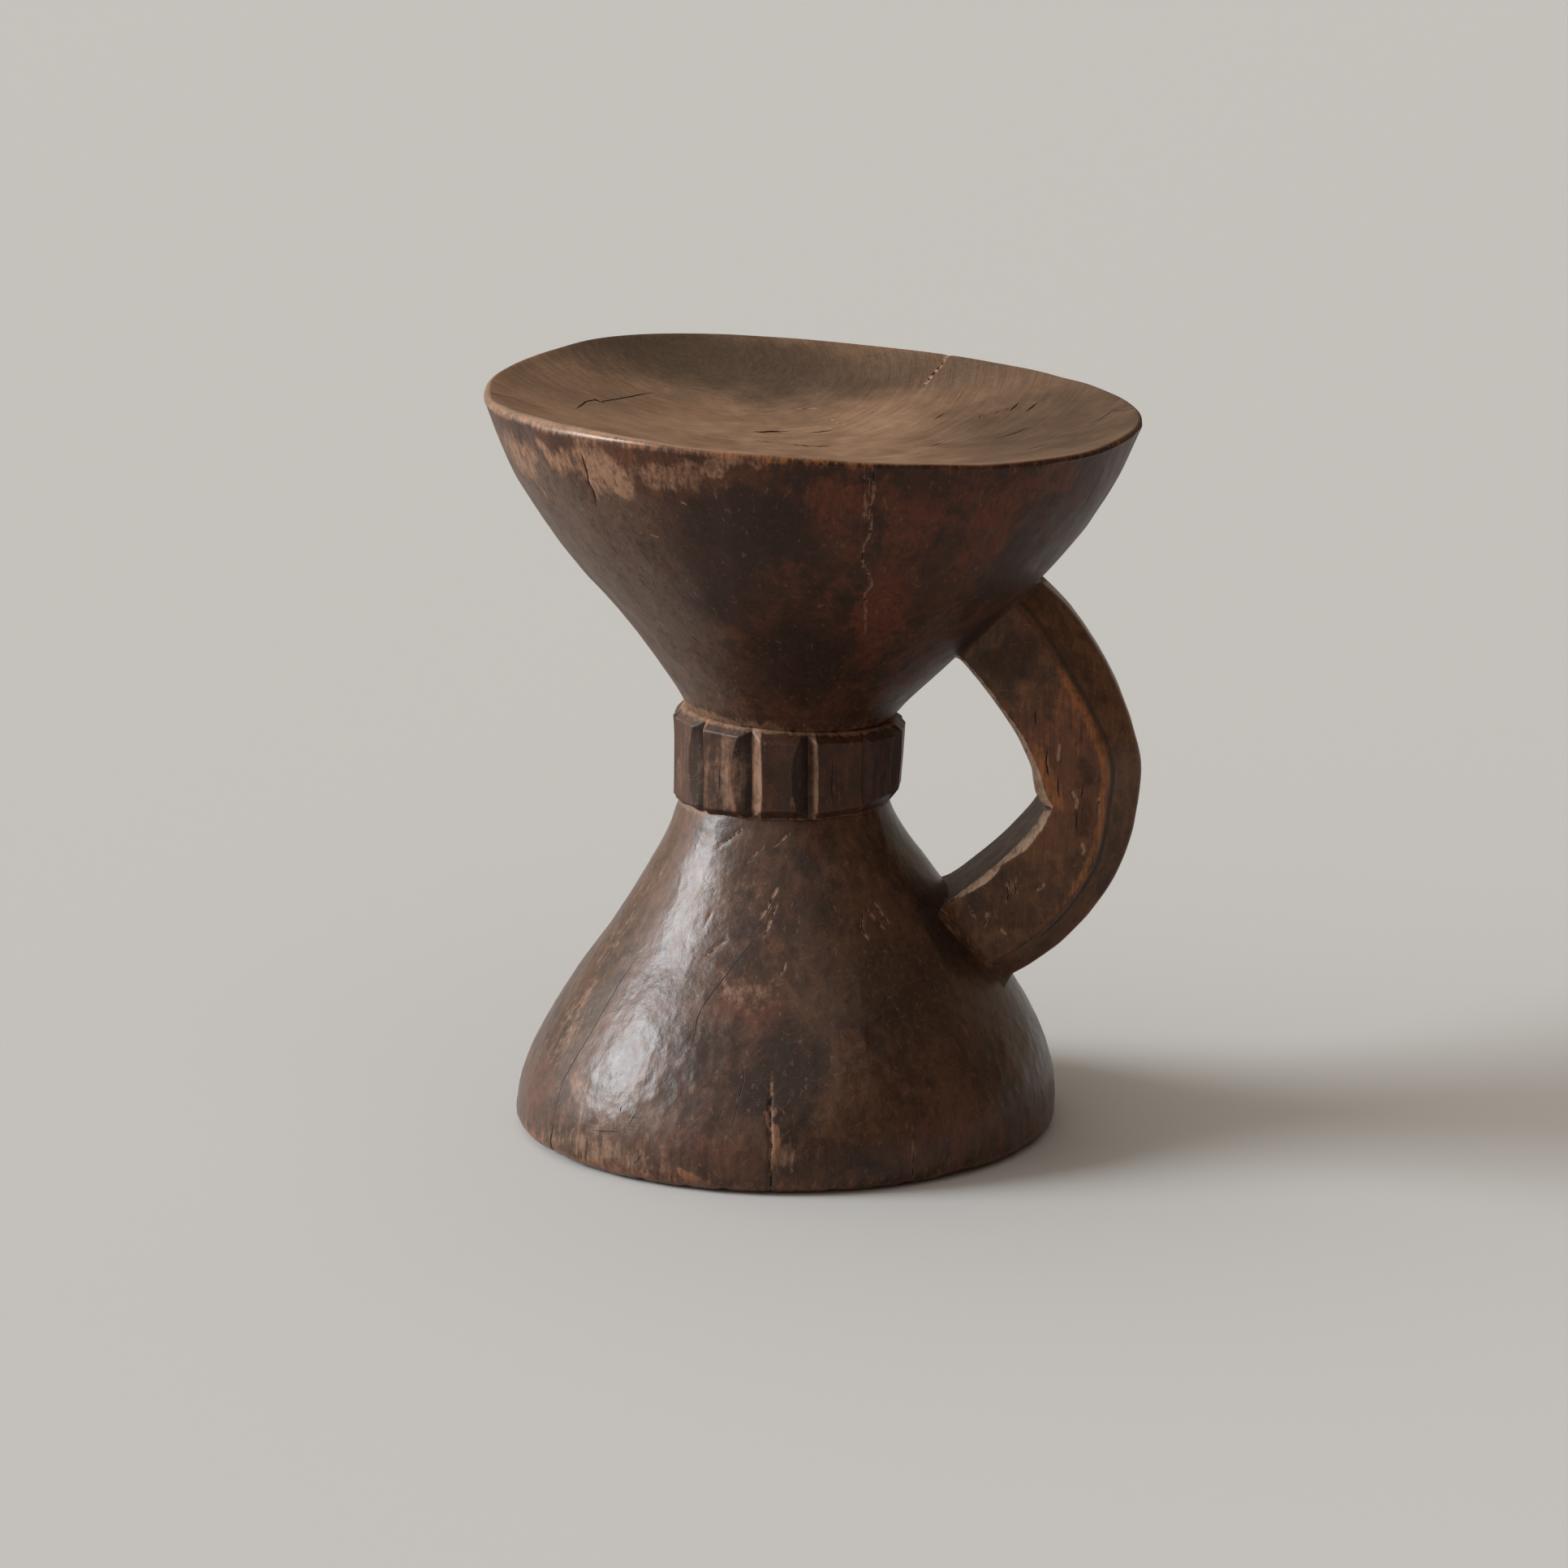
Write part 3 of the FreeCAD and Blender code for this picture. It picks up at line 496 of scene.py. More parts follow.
seatShape = {
    "neckHeight": 209.0,
    "rimHeight": 378.1,  # mean height of the rim
    # Waves of the rim's height: cosine and sine parts, counted from +X.
    "rimWaves": ((-8.5, 1.3), (-1.5, -0.4), (2.0, 0.4), (-0.4, 0.2), (0.2, -0.4)),
    "rimUneven": (30, 0.5, 4),  # small waves of the rim's height: cell, depth, seed
    "rimVaried": (34, 0.25, 3),  # how the rim's rounding varies: cell, share, seed
    "rimNoiseRadius": 165.0,
    "wallShares": (0, 0.04, 0.1, 0.2, 0.35, 0.55, 0.8, 1),  # shares of the height from the neck to the rim
    "wallRadii": (44.5, 51.5, 58.5, 72.5, 94.5, 125, 153, 167),
    "leanShares": (0, 0.2, 0.5, 1),
    "leanShifts": (3, 9.2, 13, 14.6),
    "rimRound": 1.9,
    "rimWear": (-56, 24, 2.4),  # where the rim is worn rounder: angle, spread in degrees, extra radius
    "rimBulge": (-106, 16, 1.4),  # where the rim stands out: angle, spread in degrees, extra radius
    "wallLean": 19.6,
    "dishSlope": 18.0,
    "dishDepth": 27.0,
    "slant": 1.2,  # millimetres along the wall to one of height
    "skinRadius": 120,  # where the skin's map is true to scale
    "columns": 450,
    "rows": (4, 128, 12, 72),  # underside, wall, rim, dish
    "frontCrowd": 0.9,  # extra columns at the front
    "crowdSpots": ((10.5, 3.2, 2.2), (-44.6, 1.6, 2.0)),  # and at cracks: angle, width, extra
    # Relief: cell, depth and seed.
    "wallWaves": (((46, 46, 80), 0.75, 11), ((19, 19, 30), 0.3, 12)),
    "wallScoops": (((15, 15, 21), 0.55, 21),),
    "dishWaves": (((30, 30, 30), 0.5, 13),),
    "dishScoops": (((22, 14, 22), 0.35, 25),),
    "dishCarved": (0, 0.25, 0.94, 1),  # shares of the dish's radius between which it has relief
    "plainNeck": 10.08,  # height over which the relief comes up
    "rootHeights": (235, 300),  # where the handle grows out
    "fraySeed": 71,
    # Patches of the wall: angle in degrees, height, half width, half height, strength.
    "bare": (
        (-67, 361, 26, 18, 0.7), (-53, 368, 20, 12, 0.7), (-44, 362, 12, 20, 0.75), (-38.5, 362, 12, 20, 1.0),
        (-29, 366, 22, 9, 0.6), (-22, 368, 14, 10, 0.6), (-17, 374, 30, 6, 0.6), (-84, 352, 22, 30, 0.5),
        (120, 366, 40, 14, 0.6), (170, 360, 36, 20, 0.6), (-130, 362, 34, 18, 0.6),
    ),
    # Painted light: greyish-brown patches that lighten the left side of the wall, which faces the light.
    "dusty": (
        (-66, 330, 70, 70, 0.85), (-48, 290, 50, 56, 0.85), (-40, 340, 36, 40, 0.6), (-34, 312, 26, 40, 0.5),
        (-50, 245, 40, 40, 0.7), (-120, 320, 60, 60, 0.5),
    ),
    "ruddy": (
        (4.6, 356, 22, 26, 0.5), (18, 342, 22, 30, 0.65), (24, 350, 26, 40, 0.4), (17, 290, 16, 50, 0.7),
        (36, 340, 18, 44, 0.7), (46, 360, 30, 16, 0.6), (-66, 356, 40, 24, 0.6), (-10, 300, 20, 40, 0.4),
        (-30, 240, 26, 24, 0.4), (130, 330, 40, 40, 0.6), (-160, 320, 50, 40, 0.6),
    ),
    "soot": (
        (-14, 338, 50, 34, 0.85), (-20, 308, 46, 42, 0.65), (24, 312, 24, 40, 0.35), (0, 262, 40, 44, 0.6),
        (20, 365, 14, 22, 0.5), (62, 262, 30, 26, 0.7), (50, 310, 40, 30, 0.6), (110, 300, 60, 60, 0.5),
        (-120, 300, 60, 50, 0.4), (180, 270, 70, 50, 0.5),
    ),
    # Patches of the dish: millimetres from its middle, half sizes, strength.
    "dishDark": ((-60, 125, 130, 62, 0.9), (50, 128, 90, 40, 0.6), (-125, 70, 60, 70, 0.5)),
    # Painted shade over the dish: darker on its right side, which faces the light, and at its back.
    "dishShade": ((130, 10, 90, 130, 0.6), (30, 130, 110, 40, 0.3), (-90, 130, 90, 50, 0.3)),
    # Angles in degrees between which the rim is ochre, the left side is rubbed and the rim is glossy.
    "ochreSide": (-70, -20, 0, 40),
    "rubbedSide": (-150, -90, -60, 20),
    "glossySide": (-110, -90, -25, 0),
    "rimBand": 9,  # height of the rubbed band under the rim
    "rimWorn": (0.35, 0.75),  # strength elsewhere and on the rubbed side
    "rimOchre": 0.55,
    "rimGloss": 1.6,  # how much less dry than the dish the glossy rim is
    "dishStart": (0.3, 0.75),  # shares of the way over the rim where the dish's wood starts and is full
    "crease": (226.5, 218.5, 3.4),  # bare wood at the neck: heights where it ends and is full, tilt
    "creaseBare": (0.4, 0.9),  # strength elsewhere and on the rubbed side
    # Drying cracks of the wall: angle in degrees and height.
    "wallCracks": (
        line(0.2, (9.5, 378), (10, 371), (10.5, 360), (10, 355), (10.5, 343), (10.5, 336), (9.5, 331),
             (10, 320), (11.5, 316), (13, 308), (12, 303), (13.5, 290), (17, 269), pale=0.75, groove=0.6,
             taper=(0.5, 60)),
        line(0.12, (8.5, 372), (8.5, 365), (9, 356), (9, 344), pale=0.8),
        line(0.4, (-44.5, 374), (-44.5, 362), (-45, 356), (-44.5, 351), (-45.5, 343), groove=0.5),
        line(0.12, (-34, 332), (-31.5, 330), pale=1.0, taper=(2, 2)),
        line(0.12, (-24.5, 353), (-23.5, 351), pale=1.0, taper=(1, 1)),
        line(0.2, (-43.5, 304), (-42, 297), taper=(3, 3)),
        line(0.2, (-37, 273), (-35, 267), taper=(3, 3)),
        line(0.12, (-48.5, 280), (-47, 274), pale=1.0, taper=(2, 2)),
        line(0.15, (62, 377), (63, 352), (61.5, 330)),
        line(0.35, (142, 380), (143, 350), (141, 322), (143, 300), pale=0.6, groove=0.5, taper=(1, 30)),
        line(0.2, (-150, 360), (-151, 330), (-149.5, 296)),
        line(0.3, (-104, 380), (-105, 357), (-103.5, 345), groove=0.4, taper=(1, 12)),
    ),
    # Drying cracks of the dish: millimetres from the middle of the seat.
    "dishCracks": (
        line(0.45, (-121, 10), (-115.5, 34), (-110.5, 41), (-108.5, 39), (-100, 50), (-86.5, 67),
             (-80, 73), taper=(14, 14)),
        line(0.25, (-163, -8), (-156.5, -5), (-151, -4), (-143, -9), (-135.5, -6), (-124, -3),
             taper=(2, 14)),
        line(0.9, (-32, 32), (-20.5, 39), (-9.5, 43), groove=0.7, taper=(9, 9)),
        line(0.55, (-2, 41), (12, 48), groove=0.5),
        line(0.5, (-31, 14), (-19, 16), groove=0.4),
        line(0.65, (-13, 15), (2, 13), (11, 17), groove=0.5),
        line(0.4, (-17, 27), (-9, 29)),
        line(0.4, (44, 30), (50, 31)),
        line(0.35, (51, -9), (56, -4)),
        line(0.5, (72.5, 150), (70, 144), (69, 138), (64, 127), (63, 125), (59, 114), (57.5, 101),
             pale=1.0, groove=0.6, taper=(0.5, 16)),
        line(0.5, (57, 8), (67, 18)),
        line(0.4, (62, 60), (69, 71)),
        line(0.35, (85.5, 55), (87, 63)),
        line(0.5, (90, 11), (102, 18), (111, 28)),
        line(0.45, (92.5, 59), (98, 66)),
        line(0.6, (101, 61), (107.5, 74)),
        line(0.6, (109, 55), (117, 70)),
        line(0.5, (106.5, -32), (119, -22)),
        line(0.35, (116, 27), (121, 32)),
        line(0.1, (-12, 78), (-3, 80), (7, 82), pale=2.0),
        line(0.2, (9, 68), (13, 60), (18, 54), pale=2.0),
        line(0.1, (-42, 57), (-31, 64), pale=2.0),
        line(0.25, (139, 3), (145, 12), (152.5, 26), (158.5, 19), (164, 18), taper=(8, 0.5)),
        line(0.4, (-60, -60), (-40, -72), (-18, -76)),
        line(0.4, (30, -90), (52, -82)),
        line(0.25, (-90, -95), (-108, -78)),
    ),
}


def rimWave(angle, count):
    # The first waves of the rim's height round the stool: cosine and sine parts, counted from +X.
    turn = angle - np.pi / 2
    waves = enumerate(seatShape["rimWaves"][:count], start=1)
    return sum(c * np.cos(n * turn) + s * np.sin(n * turn) for n, (c, s) in waves)


def seatRim(angle):
    # Height of the rim: mean height plus all its waves.
    return seatShape["rimHeight"] + rimWave(angle, len(seatShape["rimWaves"]))


def nearRoot(points, low, high):
    # Fades relief to a sixth where the handle grows out of a wall, between two heights.
    beside, outward, below, above, faded = (70, 46), (55, 75), 25, 20, 0.84
    x, y, z = (points[..., k] for k in range(3))
    there = ease(*beside, np.abs(y)) * ease(*outward, x) * plateau(z, low - below, low, high, high + above)
    return 1 - faded * there


def seatGrid(angle):
    # Rows run from the middle of the hidden underside up the wall, over the rounded rim and down to the
    # dish's middle. The wall is a smooth curve in shares of its height, the rim an arc, and the dish a
    # parabola under the tilted rim.
    s = seatShape
    under, wall, rim, dish = s["rows"]
    ringDots = s["rimNoiseRadius"] * np.stack([np.sin(angle), np.cos(angle), np.zeros_like(angle)], axis=-1)
    degrees = np.degrees(angle)
    cell, depth, seed = s["rimUneven"]
    crest = seatRim(angle) + depth * softNoise(ringDots, cell, seed)
    cell, varied, seed = s["rimVaried"]
    wearAngle, wearSpread, wearExtra = s["rimWear"]
    edge = s["rimRound"] + wearExtra * bell(degrees, wearAngle, wearSpread)
    edge = edge * (1 + varied * softNoise(ringDots, cell, seed))
    lean, slope = np.radians(s["wallLean"]), np.radians(s["dishSlope"])
    wallTop = crest - edge * (1 + np.sin(lean))
    wallHeight = between(s["neckHeight"], wallTop, np.linspace(0, 1, wall)[:, None])
    share = (wallHeight - s["neckHeight"]) / (crest - s["neckHeight"])
    bulgeAngle, bulgeSpread, bulgeExtra = s["rimBulge"]
    wallRadius = curveThrough(share, s["wallShares"], s["wallRadii"])
    wallRadius = wallRadius + bulgeExtra * share**2 * bell(degrees, bulgeAngle, bulgeSpread)
    wallShift = curveThrough(share, s["leanShares"], s["leanShifts"])
    underRadius = np.linspace(0, 1, under, endpoint=False)[:, None] * wallRadius[:1]
    bend = np.linspace(-lean, np.pi / 2 + slope, rim + 2)[1:-1, None]
    rimRadius = wallRadius[-1] - edge * np.cos(lean) + edge * np.cos(bend)
    rimHeight = crest - edge + edge * np.sin(bend)
    inward = np.linspace(1, 0, dish)[:, None]
    dishEdge = wallRadius[-1] - edge * (np.cos(lean) + np.sin(slope))
    tilt = rimWave(angle, 1)
    lip = crest - s["rimHeight"] - tilt - edge * (1 - np.cos(slope))
    dishHeight = s["rimHeight"] + inward * tilt + inward**3 * lip - s["dishDepth"] * (1 - inward**2)
    radius = np.concatenate([underRadius, wallRadius, rimRadius, inward * dishEdge])
    height = np.concatenate([np.full_like(underRadius, s["neckHeight"]), wallHeight, rimHeight, dishHeight])
    topShift = np.full((rim + dish, len(angle)), s["leanShifts"][-1])
    shift = np.concatenate([np.full_like(underRadius, s["leanShifts"][0]), wallShift, topShift])
    return aroundAxis(angle, radius, height, shift), radius, crest


def makeSeatBowl():
    # The grid of the seat, moved along its normals by adze relief and crack grooves, with masks of wear
    # and smoke, of painted light on the left of the wall and of painted shade in the dish.
    s = seatShape
    under, wall, rim, dish = s["rows"]
    angle = crowdedAngles(s["columns"], s["frontCrowd"], s["crowdSpots"])
    points, radius, crest = seatGrid(angle)
    height = points[..., 2]
    onWall, onRim, onDish = (kind == np.repeat([0, 1, 2, 3], s["rows"])[:, None] for kind in (1, 2, 3))
    inDish = onRim | onDish
    row = np.arange(sum(s["rows"]))[:, None]
    rimShare = np.clip((row - under - wall) / rim, 0, 1)  # from the wall over the rim to the dish
    degrees = np.broadcast_to(np.degrees(angle), radius.shape)
    fromMiddle = points[..., 0] - s["leanShifts"][-1]
    onWallLines = lineField(degrees, height, perDegree(radius), s["slant"], s["wallCracks"])
    onDishLines = lineField(fromMiddle, points[..., 1], 1.0, 1.0, s["dishCracks"])
    crackGap, crackWidth, crackPale, dent = (np.where(inDish, d, w) for d, w in zip(onDishLines, onWallLines))

    # Relief: broad planes left by the adze, small scoops, and a groove at every crack.
    relief = onWall * ease(0, s["plainNeck"], height - s["neckHeight"]) * nearRoot(points, *s["rootHeights"])
    relief = relief * carvedRelief(points, s["wallWaves"], s["wallScoops"])
    inward = np.linspace(1, 0, dish)[:, None]
    hollow = plateau(inward, *s["dishCarved"])
    relief[-dish:] += hollow * carvedRelief(points[-dish:], s["dishWaves"], s["dishScoops"])
    relief -= dent * (onWall | inDish)
    points = points + gridNormals(points) * relief[..., None]

    # Wear: the rim is rubbed bare, with bare patches under it at the left, soot in front and red clouds
    # to the right.
    rimBand = (onWall | onRim) * ease(s["rimBand"], 0, crest - height)
    rubbed = plateau(degrees, *s["rubbedSide"])
    wobble = frayNoise(points, s["fraySeed"])
    wallPatches = partial(softPatches, degrees, height, perDegree(radius), s["slant"], wobble)
    dishPatches = partial(softPatches, fromMiddle, points[..., 1], 1.0, 1.0, wobble)
    creaseEnd, creaseFull, creaseTilt = s["crease"]
    crease = onWall * ease(creaseEnd, creaseFull, height + creaseTilt * np.sin(angle))
    marks = {
        "worn": np.maximum(wallPatches(s["bare"]), rimBand * between(*s["rimWorn"], rubbed)) * ~onDish,
        "ochre": s["rimOchre"] * rimBand * plateau(degrees, *s["ochreSide"]),
        "raw": crease * between(*s["creaseBare"], rubbed),
        "dish": ease(*s["dishStart"], rimShare),
        "dry": np.where(onRim, 1 - s["rimGloss"] * plateau(degrees, *s["glossySide"]), onDish),
        "dishDark": dishPatches(s["dishDark"]),
        # painted shade of the dish
        "dishShade": 1 - dishPatches(s["dishShade"]),
        "crackGap": crackGap,
        "crackWidth": crackWidth,
        "crackPale": crackPale,
    }
    # The greyish-brown patches among these are painted light on the left side of the wall.
    for key in ("ruddy", "dusty", "soot"):
        marks[key] = wallPatches(s[key]) * onWall
    return gridPiece("seatBowl", points, marks, wayRound(angle, s["skinRadius"]))


# Base: the lower flare

baseShape = {
    "footRadius": 126.0,  # of the flat underside
    "footRound": (13.5, 9.0, 2.6),  # of the foot edge: width, height, and power of the superellipse
    "wallHeights": (9, 24, 45, 75, 105, 135, 156, 178),
    "wallRadii": (139.5, 138, 131, 114, 92.5, 72.5, 60, 51),
    "leanHeights": (0, 60, 120, 165),
    "leanShifts": (0.3, 4.2, 3.9, 0.2),
    "slant": 1.15,  # millimetres along the wall to one of height
    "skinRadius": 105,  # where the skin's map is true to scale
    "columns": 600,
    "rows": (5, 18, 130, 4),  # underside, foot edge, wall, top
    "frontCrowd": 0.8,
    "crowdSpots": ((-4, 2.4, 1.6), (-59, 2.0, 0.9), (-25, 3, 0.9), (27.2, 1.4, 1.2)),
    # Relief: cell, depth and seed. The small scoops are deeper below.
    "waves": (((44, 44, 70), 0.6, 31), ((17, 17, 24), 0.2, 32)),
    "scoops": (((13, 13, 16), 0.4, 41),),
    "smallScoops": (((6.5, 6.5, 7.5), 0.34, 47),),
    "smallScoopFade": (105, 55),  # heights
    "smallScoopShares": (0.3, 1),  # shares of their depth above and below these heights
    "carved": (0, 5, 168, 176),  # heights between which the wall has relief
    "chips": (((6, 6, 9), 0.9, 33), ((22, 22, 22), 0.9, 34)),  # out of the foot edge
    "chipHeights": (9, 2),
    "rootHeights": (78, 135),  # where the handle grows out
    "fraySeed": 81,
    # Patches: angle in degrees, height, half width, half height, strength.
    "worn": (
        (-3.4, 29, 7, 10, 0.75), (-50, 40, 30, 16, 0.5), (-66, 60, 20, 40, 0.5), (-44, 12, 60, 12, 0.6),
        (-75, 110, 20, 40, 0.45), (-30, 140, 30, 20, 0.4), (-14, 95, 14, 14, 0.5), (-40, 26, 40, 8, 0.45),
        (150, 40, 40, 30, 0.5), (-140, 90, 40, 40, 0.5), (90, 60, 20, 40, 0.4),
    ),
    "ruddy": (
        (-12, 88, 22, 16, 0.6), (10, 60, 20, 30, 0.35), (-20, 20, 60, 14, 0.5), (36, 30, 50, 22, 0.5),
        (-70, 30, 26, 30, 0.5), (140, 90, 50, 40, 0.5),
    ),
    "soot": (
        (-2, 56, 30, 40, 0.75), (10, 20, 60, 16, 0.5), (-22, 70, 18, 18, 0.5), (30, 90, 40, 50, 0.5),
        (62, 110, 30, 40, 0.7), (48, 60, 40, 40, 0.4), (8, 135, 20, 20, 0.45), (180, 60, 70, 50, 0.5),
        (-110, 50, 40, 30, 0.3),
    ),
    "ochre": ((-5.4, 34, 3, 12, 0.95), (-19.6, 5, 4, 5, 1.0)),
    "rubbedSide": (-150, -90, -60, 10),  # angles
    "footBand": (15, 1),  # heights where the ochre of the foot ends and is full
    "footOchre": (0.55, 0.85),  # strength elsewhere and on the rubbed side
    # Bare wood under the collar: heights where it starts and is full, sag at the sides.
    "crease": (167.5, 171.5, 2.5),
    "creaseBare": (0.5, 0.95),  # strength elsewhere and on the rubbed side
    # Drying cracks: angle in degrees and height.
    "cracks": (
        line(0.22, (-10.5, 121), (-12.5, 118), (-18.5, 106), (-20.5, 101), (-23.5, 93), (-25.5, 86),
             (-26, 81), (-25.5, 75), (-25.5, 68), (-25, 61), taper=(20, 24)),
        line(0.16, (-55, 106), (-56.5, 90), (-57, 73), (-57.5, 60), (-58.5, 49), (-59.5, 39), (-59, 30),
             (-58.5, 18), taper=(30, 6)),
        line(0.6, (-58.5, 19), (-59, 11), (-59, 5), (-59.5, 0), groove=0.8, taper=(12, 0.5)),
        line(0.17, (-12, 66), (-11, 57), (-11.5, 48), (-12, 39), (-12.5, 29), taper=(12, 12)),
        line(0.4, (-5, 62), (-4.5, 51), (-4.5, 44), (-4, 33), (-3.5, 27), (-3.5, 17), (-3, 9), (-3, 0),
             pale=1.0, groove=0.7, taper=(20, 0.5)),
        line(0.15, (0.5, 25), (1, 17), (1, 8), pale=1.0),
        line(0.3, (-39, 37), (-39, 34), taper=(2, 2)),
        line(0.25, (-34.5, 37), (-36, 28), taper=(5, 5)),
        line(0.25, (-31.5, 16), (-33, 10), taper=(3, 3)),
        line(0.12, (-46.5, 22), (-42, 23), (-37, 25), taper=(5, 5)),
        line(0.3, (26.5, 36), (27, 29), (27, 19), (27, 11), (27.5, 0), pale=0.7, taper=(20, 0.5)),
        line(0.4, (118, 90), (119, 62), (117.5, 34), (118, 0), pale=0.5, groove=0.6, taper=(20, 0.5)),
        line(0.2, (172, 128), (170.5, 100), (171.5, 70)),
        line(0.4, (-132, 60), (-133, 30), (-132.5, 0), pale=0.5, groove=0.6, taper=(16, 0.5)),
        line(0.25, (70, 44), (71, 20), (70.5, 0), taper=(12, 0.5)),
    ),
    # Knife strokes: angles and heights along them, and what they share.
    "strokes": (
        ((-4.5, 141), (-11.5, 126)), ((-5, 134), (-10, 117.5)), ((-10.5, 160), (-20, 150)),
        ((-22, 167), (-36, 156)), ((-22.5, 117), (-30, 107)), ((29.5, 130), (35, 118)),
        ((34.5, 132), (37.5, 120)), ((28.5, 129), (25.5, 121), (27, 115)), ((3, 166), (-6, 159)),
        ((-31, 128), (-33, 121)), ((-2, 108), (-4, 101)), ((150, 130), (146, 121)),
        ((157, 126), (152, 116)), ((-100, 120), (-104, 112)),
    ),
    "strokeWidth": 0.16,
    "strokeLook": {"pale": 1.4, "groove": 0.3, "taper": (3, 4)},
}


def makeBaseFlare():
    # Underside, foot edge as a quarter of a superellipse, wall as a smooth curve, all round an axis that
    # leans a little.
    s = baseShape
    angle = crowdedAngles(s["columns"], s["frontCrowd"], s["crowdSpots"])
    under, foot, wall, top = s["rows"]
    footWide, footHigh, power = s["footRound"]
    bend = np.linspace(0, np.pi / 2, foot, endpoint=False)
    footRadius = s["footRadius"] + footWide * np.sin(bend) ** (2 / power)
    footHeight = footHigh * (1 - np.cos(bend) ** (2 / power))
    wallHeight = np.linspace(s["wallHeights"][0], s["wallHeights"][-1], wall)
    wallRadius = curveThrough(wallHeight, s["wallHeights"], s["wallRadii"])
    underRadius = np.linspace(0, footRadius[0], under, endpoint=False)
    inward = np.linspace(1, 0, top + 1)[1:] * wallRadius[-1]
    radius = np.concatenate([underRadius, footRadius, wallRadius, inward])
    height = np.concatenate([np.zeros(under), footHeight, wallHeight, np.full(top, wallHeight[-1])])
    radius, height = (np.repeat(values[:, None], len(angle), axis=1) for values in (radius, height))
    shift = curveThrough(height, s["leanHeights"], s["leanShifts"])
    points = aroundAxis(angle, radius, height, shift)
    rowKind = np.repeat([0, 1, 1, 2], s["rows"])[:, None]
    onWall = rowKind == 1  # the foot edge too
    degrees = np.broadcast_to(np.degrees(angle), radius.shape)
    strokes = tuple(line(s["strokeWidth"], *path, **s["strokeLook"]) for path in s["strokes"])
    lines = lineField(degrees, height, perDegree(radius), s["slant"], s["cracks"] + strokes)
    crackGap, crackWidth, crackPale, dent = lines

    # Relief: broad planes, hammered-looking adze scoops, grooves at the cracks and chips out of the foot
    # edge.
    smallShare = between(*s["smallScoopShares"], ease(*s["smallScoopFade"], height))
    relief = carvedRelief(points, s["waves"], s["scoops"])
    relief = relief + smallShare * carvedRelief(points, (), s["smallScoops"])
    relief = relief * onWall * plateau(height, *s["carved"]) * nearRoot(points, *s["rootHeights"])
    chips = sum(depth * np.maximum(softNoise(points, cell, seed), 0) for cell, depth, seed in s["chips"])
    relief -= onWall * (chips * ease(*s["chipHeights"], height) + dent)
    points = points + gridNormals(points) * relief[..., None]
    points[..., 2] = np.maximum(points[..., 2], 0)

    # Wear: the foot is rubbed to ochre and the left side is paler, with soot in front.
    rubbed = plateau(degrees, *s["rubbedSide"])
    wobble = frayNoise(points, s["fraySeed"])
    patches = partial(softPatches, degrees, height, perDegree(radius), s["slant"], wobble)
    footBand = (rowKind <= 1) * ease(*s["footBand"], height)
    creaseStart, creaseFull, creaseSag = s["crease"]
    crease = onWall * ease(creaseStart, creaseFull, height - creaseSag * np.cos(angle) ** 2)
    marks = {
        "ochre": np.maximum(footBand * between(*s["footOchre"], rubbed), patches(s["ochre"])),
        "raw": crease * between(*s["creaseBare"], rubbed),
        "crackGap": crackGap,
        "crackWidth": crackWidth * onWall,
        "crackPale": crackPale,
    }
    for key in ("worn", "ruddy", "soot"):
        marks[key] = patches(s[key]) * onWall
    return gridPiece("baseFlare", points, marks, wayRound(angle, s["skinRadius"]))


# Collar: the band of planed blocks at the waist

